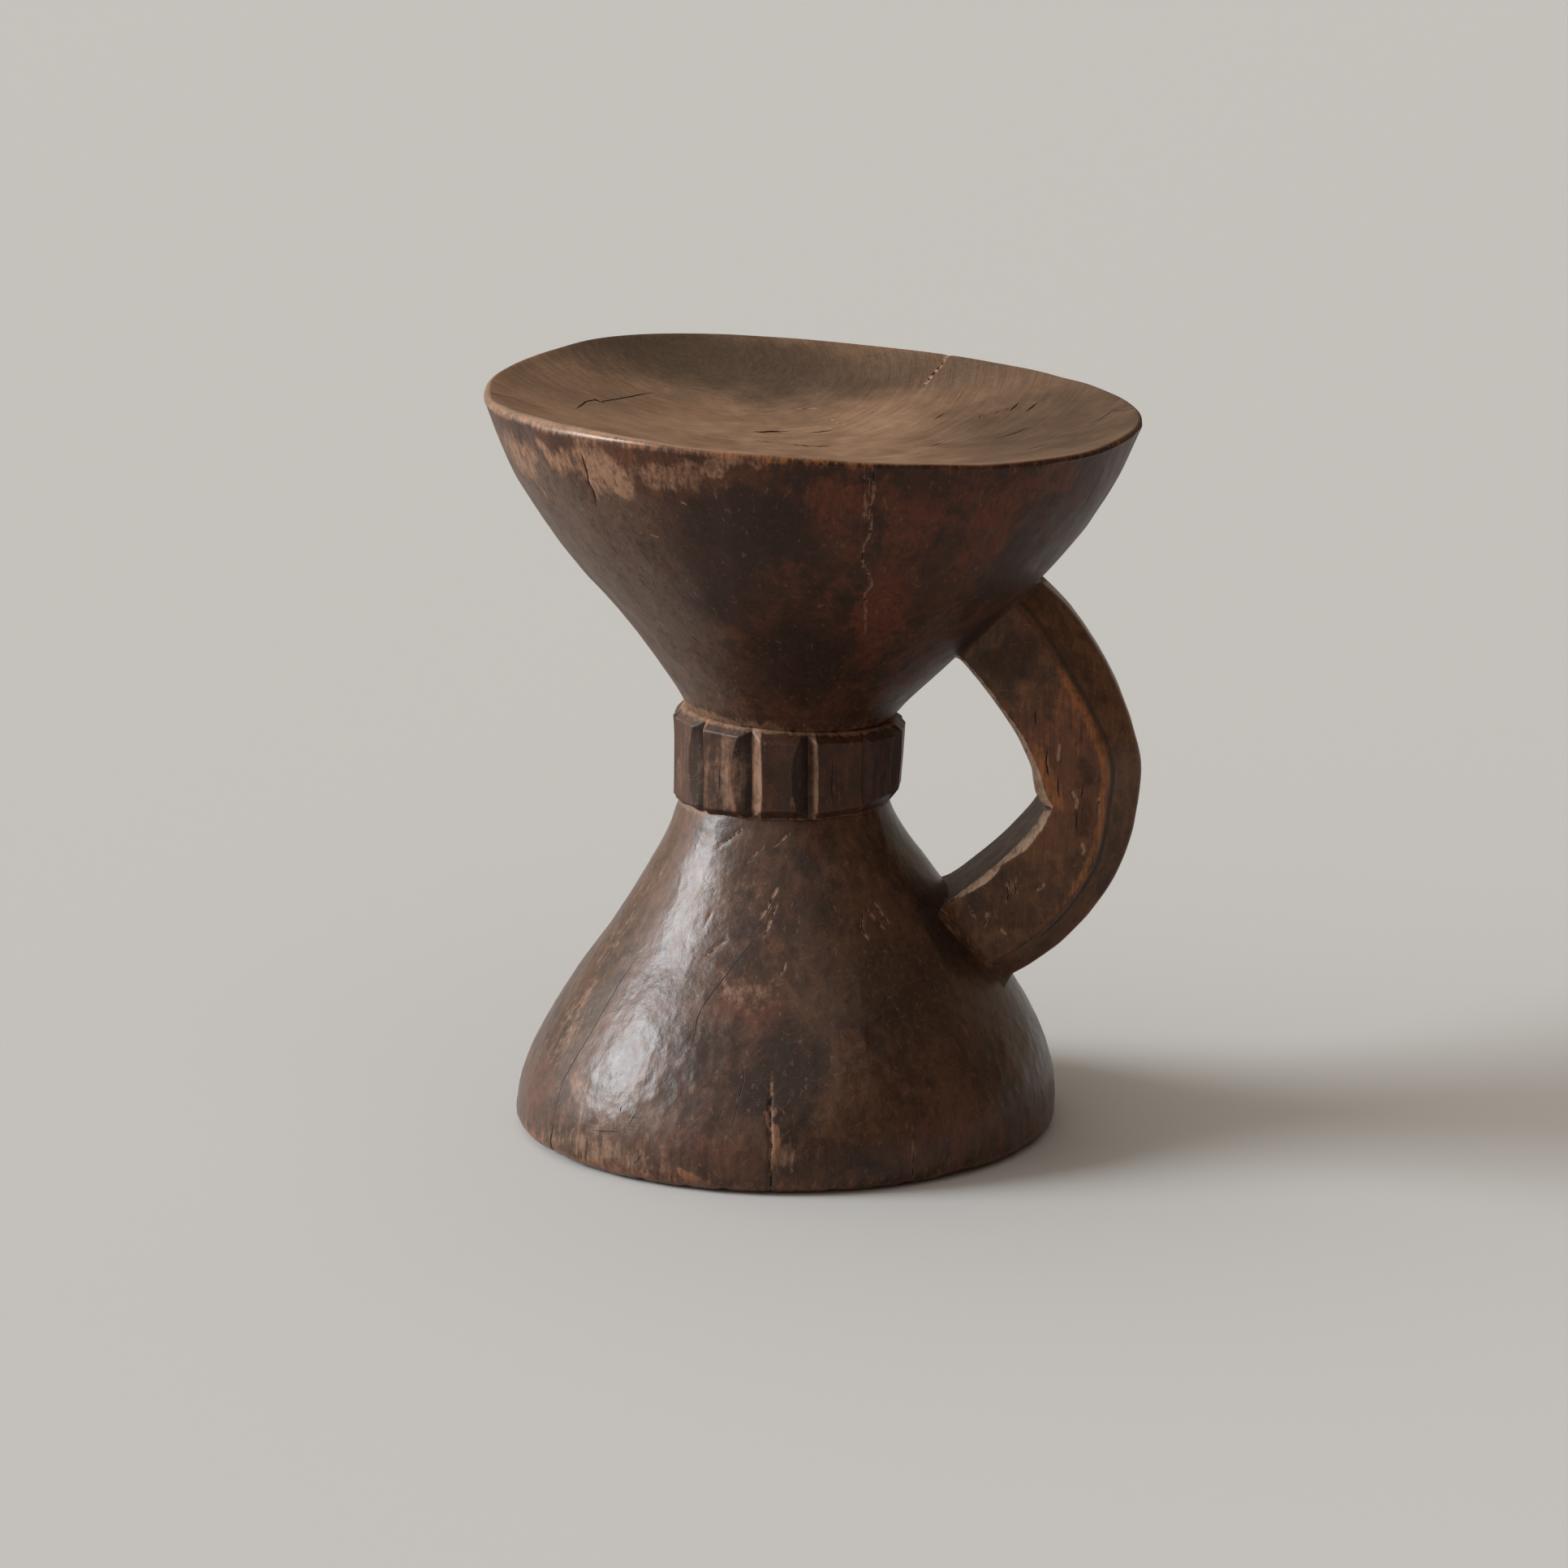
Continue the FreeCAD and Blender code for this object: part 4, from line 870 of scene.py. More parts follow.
collarShape = {
    "radius": 59.1,
    "shift": 2.7,
    "creaseRadius": 54.0,
    "innerRadius": 46.0,  # of the hidden end faces
    "lowEdge": (170.6, 0.4, 1.8),  # heights of both edges: mean, sine part and squared cosine part
    "highEdge": (217.0, -3.4, 1.0),
    "topChamfer": 4.6,
    "bottomChamfer": 4.6,
    "lens": (0.49, 0.51, 0.03),  # the valleys' lens in height: middle, half length, least value
    "lean": 2.4,  # how far the foot of the handle side leans in
    "bulge": 0.9,  # how far the blocks' corners may stand out
    # How the blocks differ: seeds, and least and most, in millimetres of their radius and in shares of
    # their chamfers.
    "blockSeeds": (5, 6),
    "blockRadius": (-0.6, 0.1),
    "blockTop": (0.75, 1.25),
    "blockBottom": (0.7, 1.3),
    # The handle side is cut in: sines of the angles where that starts and is full, extra share of the
    # lower chamfer's height, and shares of its depth elsewhere and there.
    "cutSide": (0.3, 1),
    "cutHeight": 0.6,
    "cutDepth": (0.9, 1.2),
    "valleyEnds": (0.75, 0.55),  # shares left at a valley's ends: width of its right wall, depth
    "overlap": 0.35,  # share of the smaller cut that is added where a valley meets a chamfer
    # Valleys between the blocks, from the first angle on: widths of their left and right walls, and depths.
    "firstValley": -170.0,
    "leftWidths": (8, 9, 8.5, 9, 10.5, 10.5, 9.5, 2.5, 8, 9, 8.5, 9),
    "rightWidths": (4.5, 4, 5, 4.5, 4, 7, 4.5, 4.5, 4.5, 4.5, 5, 4.5),
    "depths": (5, 5.5, 5, 5.5, 5.5, 5.5, 5.5, 3.5, 5, 5.5, 5, 5.5),
    "columns": 900,
    "rows": (3, 96, 3),  # lower end, face, upper end
    "frontCrowd": 0.6,
    # Relief: cell, depth and seed.
    "waves": (((5, 5, 16), 0.12, 51), ((2.2, 2.2, 7), 0.05, 52), ((12, 12, 20), 0.3, 53)),
    "fraySeed": 91,
    # Patches: angle in degrees, height, half width, half height, strength.
    # Paler patches on the left blocks, which face the light, are painted sheen.
    "worn": ((-36, 196, 16, 26, 0.45), (-67, 196, 10, 20, 0.4), (-98, 196, 12, 18, 0.4)),
    "ruddy": ((-33, 186, 9, 14, 0.6), (25, 192, 12, 18, 0.4), (-5, 205, 8, 8, 0.4), (120, 195, 20, 20, 0.5)),
    "litSide": (-75, -45, 4, 36),  # angles between which the right walls of the valleys get a painted highlight
    # Where marks start and are full: depths of a cut in millimetres, and shares of a wall or of the height.
    # The next three shape the painted highlight on the valleys' right walls.
    "litCut": (0, 0.4),
    "litAcross": (0.1, 0.9),
    "litShares": (0.45, 1),  # strength of the painted highlight in the valley's bottom and at its edge
    # the painted shade on the valleys' left walls, which face away from the light
    "darkCut": (0.05, 0.5),
    "chamferCut": (0.2, 1.5),
    "edgeSpread": 1.0,  # millimetres
    "edgeHeights": (0, 0.1, 0.9, 1),
    "lowCrease": (0.05, 0.0),
    "highCrease": (0.93, 1.0),
    # Strength of marks, by layer.
    # The lit right walls of the valleys get a painted highlight.
    "wornAndLitStrength": {"edges": 0.25, "litWall": 0.75},
    "ochreStrength": {"edges": 0.3, "chamfer": 0.2},
    "rawStrength": {"lowCrease": 0.6, "highCrease": 0.75},
    # strength of the painted shade on the valleys' left walls
    "valleyShadeStrength": 0.65,
    # Drying cracks: angle in degrees and height.
    "cracks": (
        line(0.35, (39.9, 216), (39.6, 195), (39.9, 170), taper=(3, 0.5)),
        line(0.3, (-49.6, 214), (-49.8, 190), (-49.6, 172), taper=(3, 3)),
        line(0.16, (22, 206), (21.4, 190), (21.8, 178), taper=(8, 8)),
        line(0.16, (-37, 200), (-36.6, 184), taper=(8, 8)),
    ),
}


def makeWaistCollar():
    # A ring of flat blocks. Each valley is a V with its own left and right width, and a lens in height
    # that narrows to both ends.
    s = collarShape
    angle = crowdedAngles(s["columns"], s["frontCrowd"], ())
    under, face, top = s["rows"]
    edges = (s["lowEdge"], s["highEdge"])
    low, high = (mean + sine * np.sin(angle) + square * np.cos(angle) ** 2 for mean, sine, square in edges)
    cutIn = ease(*s["cutSide"], np.sin(angle))  # the handle side leans in and is cut deeper
    share = np.linspace(0, 1, face)[:, None]
    height = between(low, high, share)
    valleyKeys = ("leftWidths", "rightWidths", "depths")
    leftWidths, rightWidths, depths = (np.array(s[key], float) for key in valleyKeys)
    blockTurn = 360 / len(depths)
    valleys = s["firstValley"] + blockTurn * np.arange(len(depths))
    offset = (np.degrees(angle)[:, None] - valleys + 180) % 360 - 180
    nearest = np.argmin(np.abs(offset), axis=1)
    across = np.radians(offset[np.arange(len(angle)), nearest]) * s["radius"]
    block = np.where(across > 0, nearest, (nearest - 1) % len(valleys))
    blockMiddle = valleys[block] + blockTurn / 2
    fromMiddle = np.radians((np.degrees(angle) - blockMiddle + 180) % 360 - 180)
    blockCells = np.stack([block] * 3, axis=-1).astype(np.int64)
    number, second = (cellNumbers(blockCells, seed) for seed in s["blockSeeds"])
    flat = (s["radius"] + between(*s["blockRadius"], number)) / np.cos(fromMiddle)
    chamferTop = s["topChamfer"] * between(*s["blockTop"], second)
    chamferLow = s["bottomChamfer"] * (between(*s["blockBottom"], number) + s["cutHeight"] * cutIn)
    chamferDepth = s["radius"] - s["creaseRadius"]
    topDrop = chamferDepth * np.clip(1 - (high - height) / chamferTop, 0, 1)
    lowDrop = chamferDepth * np.clip(1 - (height - low) / chamferLow, 0, 1)
    drop = topDrop + lowDrop * between(*s["cutDepth"], cutIn)
    lensMiddle, lensHalf, lensLeast = s["lens"]
    lens = np.sqrt(np.clip(1 - ((share - lensMiddle) / lensHalf) ** 2, lensLeast, 1))
    endWidth, endDepth = s["valleyEnds"]
    rightReach = rightWidths[nearest] * between(endWidth, 1, lens)
    reach = np.where(across < 0, leftWidths[nearest] * lens, rightReach)
    cut = depths[nearest] * between(endDepth, 1, lens) * np.clip(1 - np.abs(across) / reach, 0, 1)
    faceRadius = np.minimum(flat - s["lean"] * (1 - share) * cutIn, s["radius"] + s["bulge"])
    faceRadius = faceRadius - np.maximum(drop, cut) - s["overlap"] * np.minimum(drop, cut)
    ends = [np.linspace(*span, count)[:, None] * np.ones(len(angle))
            for span, count in (((0, s["innerRadius"]), under), ((s["innerRadius"], 0), top))]
    radius = np.concatenate([ends[0], faceRadius, ends[1]])
    lowEnd, highEnd = np.repeat(low[None], under, axis=0), np.repeat(high[None], top, axis=0)
    heights = np.concatenate([lowEnd, height, highEnd])
    points = aroundAxis(angle, radius, heights, s["shift"])
    onFace = np.repeat([0, 1, 0], s["rows"])[:, None]
    points = points + gridNormals(points) * (onFace * carvedRelief(points, s["waves"], ()))[..., None]

    # Wear: edges are rubbed and the creases are bare. The right walls of the valleys get a painted highlight
    # and the left walls painted shade.
    degrees = np.broadcast_to(np.degrees(angle), radius.shape)
    scale = np.full(radius.shape, perDegree(s["radius"]))
    patches = partial(softPatches, degrees, heights, scale, 1.0, frayNoise(points, s["fraySeed"]))
    crackGap, crackWidth, crackPale, _ = lineField(degrees, heights, scale, 1.0, s["cracks"])
    litShare = between(*s["litShares"], ease(*s["litAcross"], np.abs(across) / reach))
    onFaceMarks = {
        # painted highlight on the right walls of the valleys
        "litWall": (across > 0) * ease(*s["litCut"], cut) * litShare,
        "edges": bell(np.abs(across), reach, s["edgeSpread"]) * plateau(share, *s["edgeHeights"]),
        "chamfer": ease(*s["chamferCut"], drop),
        # painted shade on the left walls of the valleys
        "valley": (across < 0) * ease(*s["darkCut"], cut),
        "creases": sum(strength * ease(*s[key], share) for key, strength in s["rawStrength"].items()),
    }
    grown = {key: np.pad(np.broadcast_to(values, height.shape), ((under, top), (0, 0)))
             for key, values in onFaceMarks.items()}
    grown["litWall"] = grown["litWall"] * plateau(degrees, *s["litSide"])
    rubbed = [strength * grown[key] for key, strength in s["wornAndLitStrength"].items()]
    marks = {
        # rubbed edges, and painted highlight and sheen on the lit right walls and the left blocks
        "worn": np.maximum.reduce([*rubbed, patches(s["worn"])]),
        "ochre": sum(strength * grown[key] for key, strength in s["ochreStrength"].items()),
        "ruddy": patches(s["ruddy"]),
        # painted shade on the valleys' left walls
        "soot": s["valleyShadeStrength"] * grown["valley"],
        "raw": grown["creases"],
        "crackGap": crackGap,
        "crackWidth": crackWidth * onFace,
        "crackPale": crackPale,
    }
    return gridPiece("waistCollar", points, marks, wayRound(angle, s["radius"]))


# Handle: the bow at the side

wholeBow = (-95, -90, 90, 95)  # angles past both ends of the bow

handleShape = {
    "center": (59.0, 184.0),
    "halfThickness": 28.0,
    "crown": 1.3,  # how far the faces swell
    "facing": (0.8, 0.97),  # shares of the half thickness where the faces start and are full
    "onSide": (0.7, 0.95),  # the same with the rounded corners
    "fan": (84, -82),  # angles round the centre that the bow runs through, in degrees
    # Edges seen from the side: angles round the centre in degrees, and distances from it.
    "outer": ((-82, -45, -10, 3, 12, 30, 50, 84), (117, 120.5, 123, 123.5, 121.5, 120.5, 123.5, 132)),
    "ridge": (
        (-82, -40, -25, -6, 5, 18, 30, 40, 55, 84),
        (105, 106, 106.5, 105, 105.5, 102.5, 101, 102, 108.5, 118),
    ),
    "frontLower": ((-82, -60, -45, -36, -30, -8.4), (70, 66.5, 67.5, 67.5, 71, 78.5)),
    "frontUpper": ((-8.4, -3, 5, 20, 42, 60, 84), (78.5, 74, 71, 67, 66, 71, 82)),
    "innerLower": ((-82, -65, -50, -30, -9.9), (70.5, 65.5, 64, 67.5, 75.5)),
    "innerUpper": ((-9.9, -5, 5, 20, 36, 50, 66, 84), (75.5, 70.5, 67.5, 64, 63.5, 65.5, 71.5, 81)),
    "innerDepth": 3.0,  # how far the small inner bevel reaches back
    "strip": (3.2, 5.4),  # steep strip outside the ridge: out and back
    "bevelSlope": 0.9,
    "rootBlend": (9.0, 14.0),  # softness of the roots in the seat and in the base
    "bevelBlend": 4.5,  # the same outside the ridge, where the roots stay crisp
    "softens": (4, -32),  # distances outside the ridge between which the roots grow soft
    # How far the spread roots lie under the walls: at least, and per millimetre farther out.
    "rootDip": (0.3, 0.2),
    "dipStart": 0.75,  # how far outside the half thickness that begins, in softnesses
    "rootTone": (14, 0),  # distances from the walls over which the roots take their tone
    "rootSpread": (0, 6),  # spread of the sides where the relief starts to fade and has faded
    "rootPlain": 0.85,  # share of the relief that fades
    "widestRoot": 60,
    "wallBend": 36,  # half width at which a wall's side view goes over into its tangent
    "rounds": (1.6, 1.9, 4.5, 2.4, 2.4, 4.5, 1.9, 1.6, 1.3, 1.3),  # of the section's corners
    "edgeSteps": (48, 6, 18, 12, 18, 6, 34, 6, 24, 6),  # points along the section's sides
    "cornerSteps": 6,  # points round each corner
    "rows": 336,
    "elbow": (-9.5, 5, 2.2),  # where the rows crowd: angle, spread in degrees, extra density
    "waves": (((24, 24, 34), 0.55, 61), ((8, 8, 13), 0.2, 62)),  # cell, depth, seed
    "scoops": (((13, 13, 18), 0.35, 65),),
    "fraySeeds": {"orange": 95, "dark": 97},
    # Patches seen from the side: x, height, half width, half height, strength.
    "orange": (
        (135, 204, 13, 26, 0.7), (135, 184, 9, 14, 1.0), (150, 172, 14, 18, 0.35), (128, 222, 12, 16, 0.5),
        (141, 226, 9, 22, 0.75),
    ),
    "dark": (
        (156, 188, 8, 13, 0.65), (154, 164, 8, 15, 0.6), (112, 248, 20, 16, 0.7), (120, 138, 24, 16, 0.4),
        (114, 119, 28, 18, 0.5),
    ),
    # Lines along the bow: distance of their middle outside the edge that they follow, and spread.
    "ridgeLine": (-1.5, 3.0),
    "edgeLine": (3.5, 5.0),
    # the steep strip beside the ridge gets painted shade
    "steep": (2.4, 1.7),  # the strip beside the ridge
    # Strips along an edge: distances outside it and places across, where each ends and is full.
    # The low and near strips are painted highlights along the front of the inner edge.
    "lowStrip": ((1.2, -0.4), (22, 26)),
    "nearStrip": ((0.6, -0.4), (22, 25.5)),
    # painted shade on the inner face of the lower arm
    "armTop": ((2.5, 0.5), (25.5, 24)),  # of the lower arm
    # a painted highlight along the inner edge of the upper arm
    "innerEdge": ((2.2, 0.6), (20, 23)),
    # painted shade on the bevel outside the ridge
    "bevel": (0.6, 3),  # distances outside the ridge where it starts and is full
    # What each layer is made of: marks, their strength, and the angles between which they show.
    "layers": {
        # Worn: the roots' tone, and a painted highlight along the upper arm's inner edge.
        "worn": (("root", 0.4, (-95, -90, -45, -30)), ("innerEdge", 0.6, (-10, -4, 90, 95))),
        "ochre": (
            ("ridgeLine", 0.8, (-44, -30, 30, 44)), ("edgeLine", 1.0, (-14, -4, 10, 26)),
            ("orange", 0.6, wholeBow),
        ),
        "ruddy": (("ridgeLine", 0.6, wholeBow), ("grip", 0.7, (-42, -5, 22, 52))),
        # Soot: dark patches and the roots' tone, and painted shade on the bevel, the steep strip and the
        # lower arm's inner face.
        "soot": (
            ("dark", 1.0, wholeBow), ("bevel", 0.25, wholeBow), ("steep", 0.8, (-60, -40, 90, 95)),
            ("armTop", 0.75, (-95, -90, -12, -8)), ("root", 0.75, wholeBow),
        ),
        # The raw layer here is painted highlight: pale strips along the front of the inner edge.
        "raw": (("lowStrip", 1.0, (-68, -60, -12, -8)), ("nearStrip", 1.0, (-9.5, -8, 62, 76))),
    },
    # Cracks and scratches seen from the side: x and height.
    "cracks": (
        line(0.3, (133.5, 204), (133, 196), (134.5, 187), taper=(5, 5)),
        line(0.25, (139.5, 190), (139, 182), (140, 176), taper=(5, 5)),
        line(0.2, (127, 224), (127.6, 214), taper=(4, 4)),
        line(0.25, (149, 170), (148.4, 160), taper=(4, 4)),
        line(0.2, (152, 186), (151, 176), taper=(4, 4)),
    ),
    "scratches": (
        ((118, 137), (117.5, 131), (119, 125)), ((113, 134), (114.5, 127), (113.5, 121)),
        ((94, 121), (98, 113)), ((104, 118), (102.5, 109)), ((151, 154), (153.5, 150.5), (151.5, 147)),
        ((146, 182), (149, 176), (148, 171)), ((140, 208), (139, 196)), ((160, 178), (161, 168)),
        ((128, 128), (134, 133)), ((109, 110), (114, 105)),
    ),
    "scratchWidth": 0.22,
    "scratchLook": {"pale": 0.95, "taper": (2, 3)},
}


def smoothMax(a, b, soft):
    # Maximum with a fillet: the larger value, raised by a parabola where the two differ by less than soft.
    h = np.clip(0.5 + 0.5 * (b - a) / soft, 0, 1)
    return a * (1 - h) + b * h + soft * h * (1 - h)


def wallBeside(x, middle, radius, bend):
    # Half width of a round wall at x, seen from the side: sqrt(radius^2 - distance^2), and from the bend
    # outwards the tangent there.
    away, reach = x - middle, np.sqrt(radius**2 - bend**2)
    chord = np.sqrt(np.maximum(radius**2 - away**2, bend**2))
    return np.where(away < reach, chord, bend - (away - reach) * reach / bend)


def rootWalls(x, z):
    # Half widths of the seat's and the base's walls beside the handle.
    seatAxis, beside = 12, 40  # places from which the rim's angle is taken
    crest = seatRim(np.arctan2(x - seatAxis, beside))
    share = (z - seatShape["neckHeight"]) / (crest - seatShape["neckHeight"])
    seatRadius = curveThrough(share, seatShape["wallShares"], seatShape["wallRadii"])
    seatMiddle = curveThrough(share, seatShape["leanShares"], seatShape["leanShifts"])
    baseRadius = curveThrough(z, baseShape["wallHeights"], baseShape["wallRadii"])
    baseMiddle = curveThrough(z, baseShape["leanHeights"], baseShape["leanShifts"])
    bend = handleShape["wallBend"]
    return wallBeside(x, seatMiddle, seatRadius, bend), wallBeside(x, baseMiddle, baseRadius, bend)


def handleSection(outer, ridge, front, inner):
    # A ten-sided section for each row: distance from the centre and place across. Parabolas round its
    # corners.
    s = handleShape
    half = np.full_like(outer, s["halfThickness"])
    out, back = s["strip"]
    step, small = half - back, half - s["innerDepth"]
    flat = step - s["bevelSlope"] * (outer - ridge - out)
    corners = np.array([
        (front, -half), (ridge, -half), (ridge + out, -step), (outer, -flat), (outer, flat),
        (ridge + out, step), (ridge, half), (front, half), (inner, small), (inner, -small),
    ]).transpose(2, 0, 1)
    rounds = np.array(s["rounds"])[None, :, None]
    before, after = np.roll(corners, 1, axis=1) - corners, np.roll(corners, -1, axis=1) - corners
    longest = 0.45  # a rounding takes less than half of a side
    start = corners + before * np.minimum(rounds / np.linalg.norm(before, axis=-1, keepdims=True), longest)
    stop = corners + after * np.minimum(rounds / np.linalg.norm(after, axis=-1, keepdims=True), longest)
    sides = []
    for k, steps in enumerate(s["edgeSteps"]):
        one = slice(k, k + 1)
        t = np.linspace(0, 1, s["cornerSteps"])[None, :, None]
        sides.append((1 - t) ** 2 * start[:, one] + 2 * t * (1 - t) * corners[:, one] + t**2 * stop[:, one])
        t = np.linspace(0, 1, steps + 2)[None, 1:-1, None]
        goal = start[:, (k + 1) % len(s["edgeSteps"])][:, None]
        sides.append(stop[:, one] * (1 - t) + goal * t)
    section = np.concatenate(sides, axis=1)
    return section[..., 0], section[..., 1]


def makeHandle():
    # The section turned through the fan of angles. Near both roots its sides spread to the walls of seat
    # and base.
    s = handleShape
    fan = np.linspace(*s["fan"], 4001)  # fine steps, from which the rows are chosen
    elbow, elbowSpread, elbowExtra = s["elbow"]
    crowd = np.cumsum(1 + elbowExtra * bell(fan, elbow, elbowSpread))
    along = np.interp(np.linspace(crowd[0], crowd[-1], s["rows"]), crowd, fan)
    outer, ridge = (curveThrough(along, *s[key]) for key in ("outer", "ridge"))
    front, inner = (brokenCurve(along, s[key + "Lower"], s[key + "Upper"]) for key in ("front", "inner"))
    away, side = handleSection(outer, ridge, front, inner)
    along, ridge, front, inner = (values[:, None] for values in (along, ridge, front, inner))
    thick = np.abs(side) / s["halfThickness"]
    facing, onSide = (ease(*s[key], thick) for key in ("facing", "onSide"))
    upFace = np.clip((away - front) / (ridge - front), 0, 1)
    side = side + np.sign(side) * facing * s["crown"] * np.sin(np.pi * upFace)
    turn = np.radians(along)
    x, z = s["center"][0] + away * np.cos(turn), s["center"][1] + away * np.sin(turn)
    spread = np.abs(side)
    soften = ease(*s["softens"], away - ridge)
    root = np.zeros_like(x)  # 1 where the roots meet the walls, whose tone they take
    dipLeast, dipSlope = s["rootDip"]
    for wall, soft in zip(rootWalls(x, z), s["rootBlend"]):
        blend = between(s["bevelBlend"], soft, soften)
        farther = np.maximum(wall - s["halfThickness"] - s["dipStart"] * blend, 0)
        under = wall - (dipLeast + dipSlope * farther)
        spread = smoothMax(spread, np.minimum(under, s["widestRoot"]), blend)
        root = np.maximum(root, ease(*s["rootTone"], spread - wall))
    points = np.stack([x, np.sign(side) * spread, z], axis=-1)
    ends = [np.broadcast_to(points[row].mean(axis=0), (1,) + points.shape[1:]) for row in (0, -1)]

    # Relief: broad planes and scoops, nearly plain where the roots spread.
    plain = s["rootPlain"] * ease(*s["rootSpread"], spread - np.abs(side))
    relief = carvedRelief(points, s["waves"], s["scoops"]) * (1 - plain)
    scratches = tuple(line(s["scratchWidth"], *path, **s["scratchLook"]) for path in s["scratches"])
    lines = lineField(points[..., 0], points[..., 2], 1.0, 1.0, s["cracks"] + scratches)
    crackGap, crackWidth, crackPale, _ = lines
    points = points - gridNormals(points) * relief[..., None]  # the grid's normals point in

    # Wear: the ridge is rubbed to ochre, the grip is red and the roots are dark. Pale strips along the inner
    # edges are painted highlights; the steep strip, the bevel and the lower arm's inner face get painted
    # shade.
    across = np.abs(side)
    wear = {"root": root, "grip": facing, "bevel": ease(*s["bevel"], away - ridge)}
    lineEdges = {"ridgeLine": (ridge, onSide), "edgeLine": (front, facing), "steep": (ridge, 1.0)}
    for key, (edge, face) in lineEdges.items():
        outside, lineSpread = s[key]
        wear[key] = bell(away, edge + outside, lineSpread) * face
    stripEdges = {
        "lowStrip": (front, across), "nearStrip": (front, -side),
        "armTop": (inner, across), "innerEdge": (inner, across),
    }
    for key, (edge, sideways) in stripEdges.items():
        outLimits, sideLimits = s[key]
        wear[key] = ease(*outLimits, away - edge) * ease(*sideLimits, sideways)
    for key, seed in s["fraySeeds"].items():
        wear[key] = facing * softPatches(x, z, 1.0, 1.0, frayNoise(points, seed), s[key])
    marks = {}
    for layer, parts in s["layers"].items():
        shown = [strength * wear[key] * plateau(along, *span) for key, strength, span in parts]
        marks[layer] = np.maximum.reduce(shown)
    marks.update(crackGap=crackGap, crackWidth=crackWidth * facing, crackPale=crackPale)
    marks = {key: np.concatenate([values[:1], values, values[-1:]]) for key, values in marks.items()}
    middle = points[len(points) // 2]
    around = np.linalg.norm(np.roll(middle, -1, axis=0) - middle, axis=-1)
    around = np.concatenate([[0], np.cumsum(around)])
    return gridPiece("handleBow", np.concatenate([ends[0], points, ends[1]]), marks, around)


# Finishes. All are one dense hardwood, darkened by smoke and hands. The masks say where it is worn
# and where light and shade are painted into the colour.
# Each layer: how far noise breaks its mask up, mask values where it starts and is full, strength.

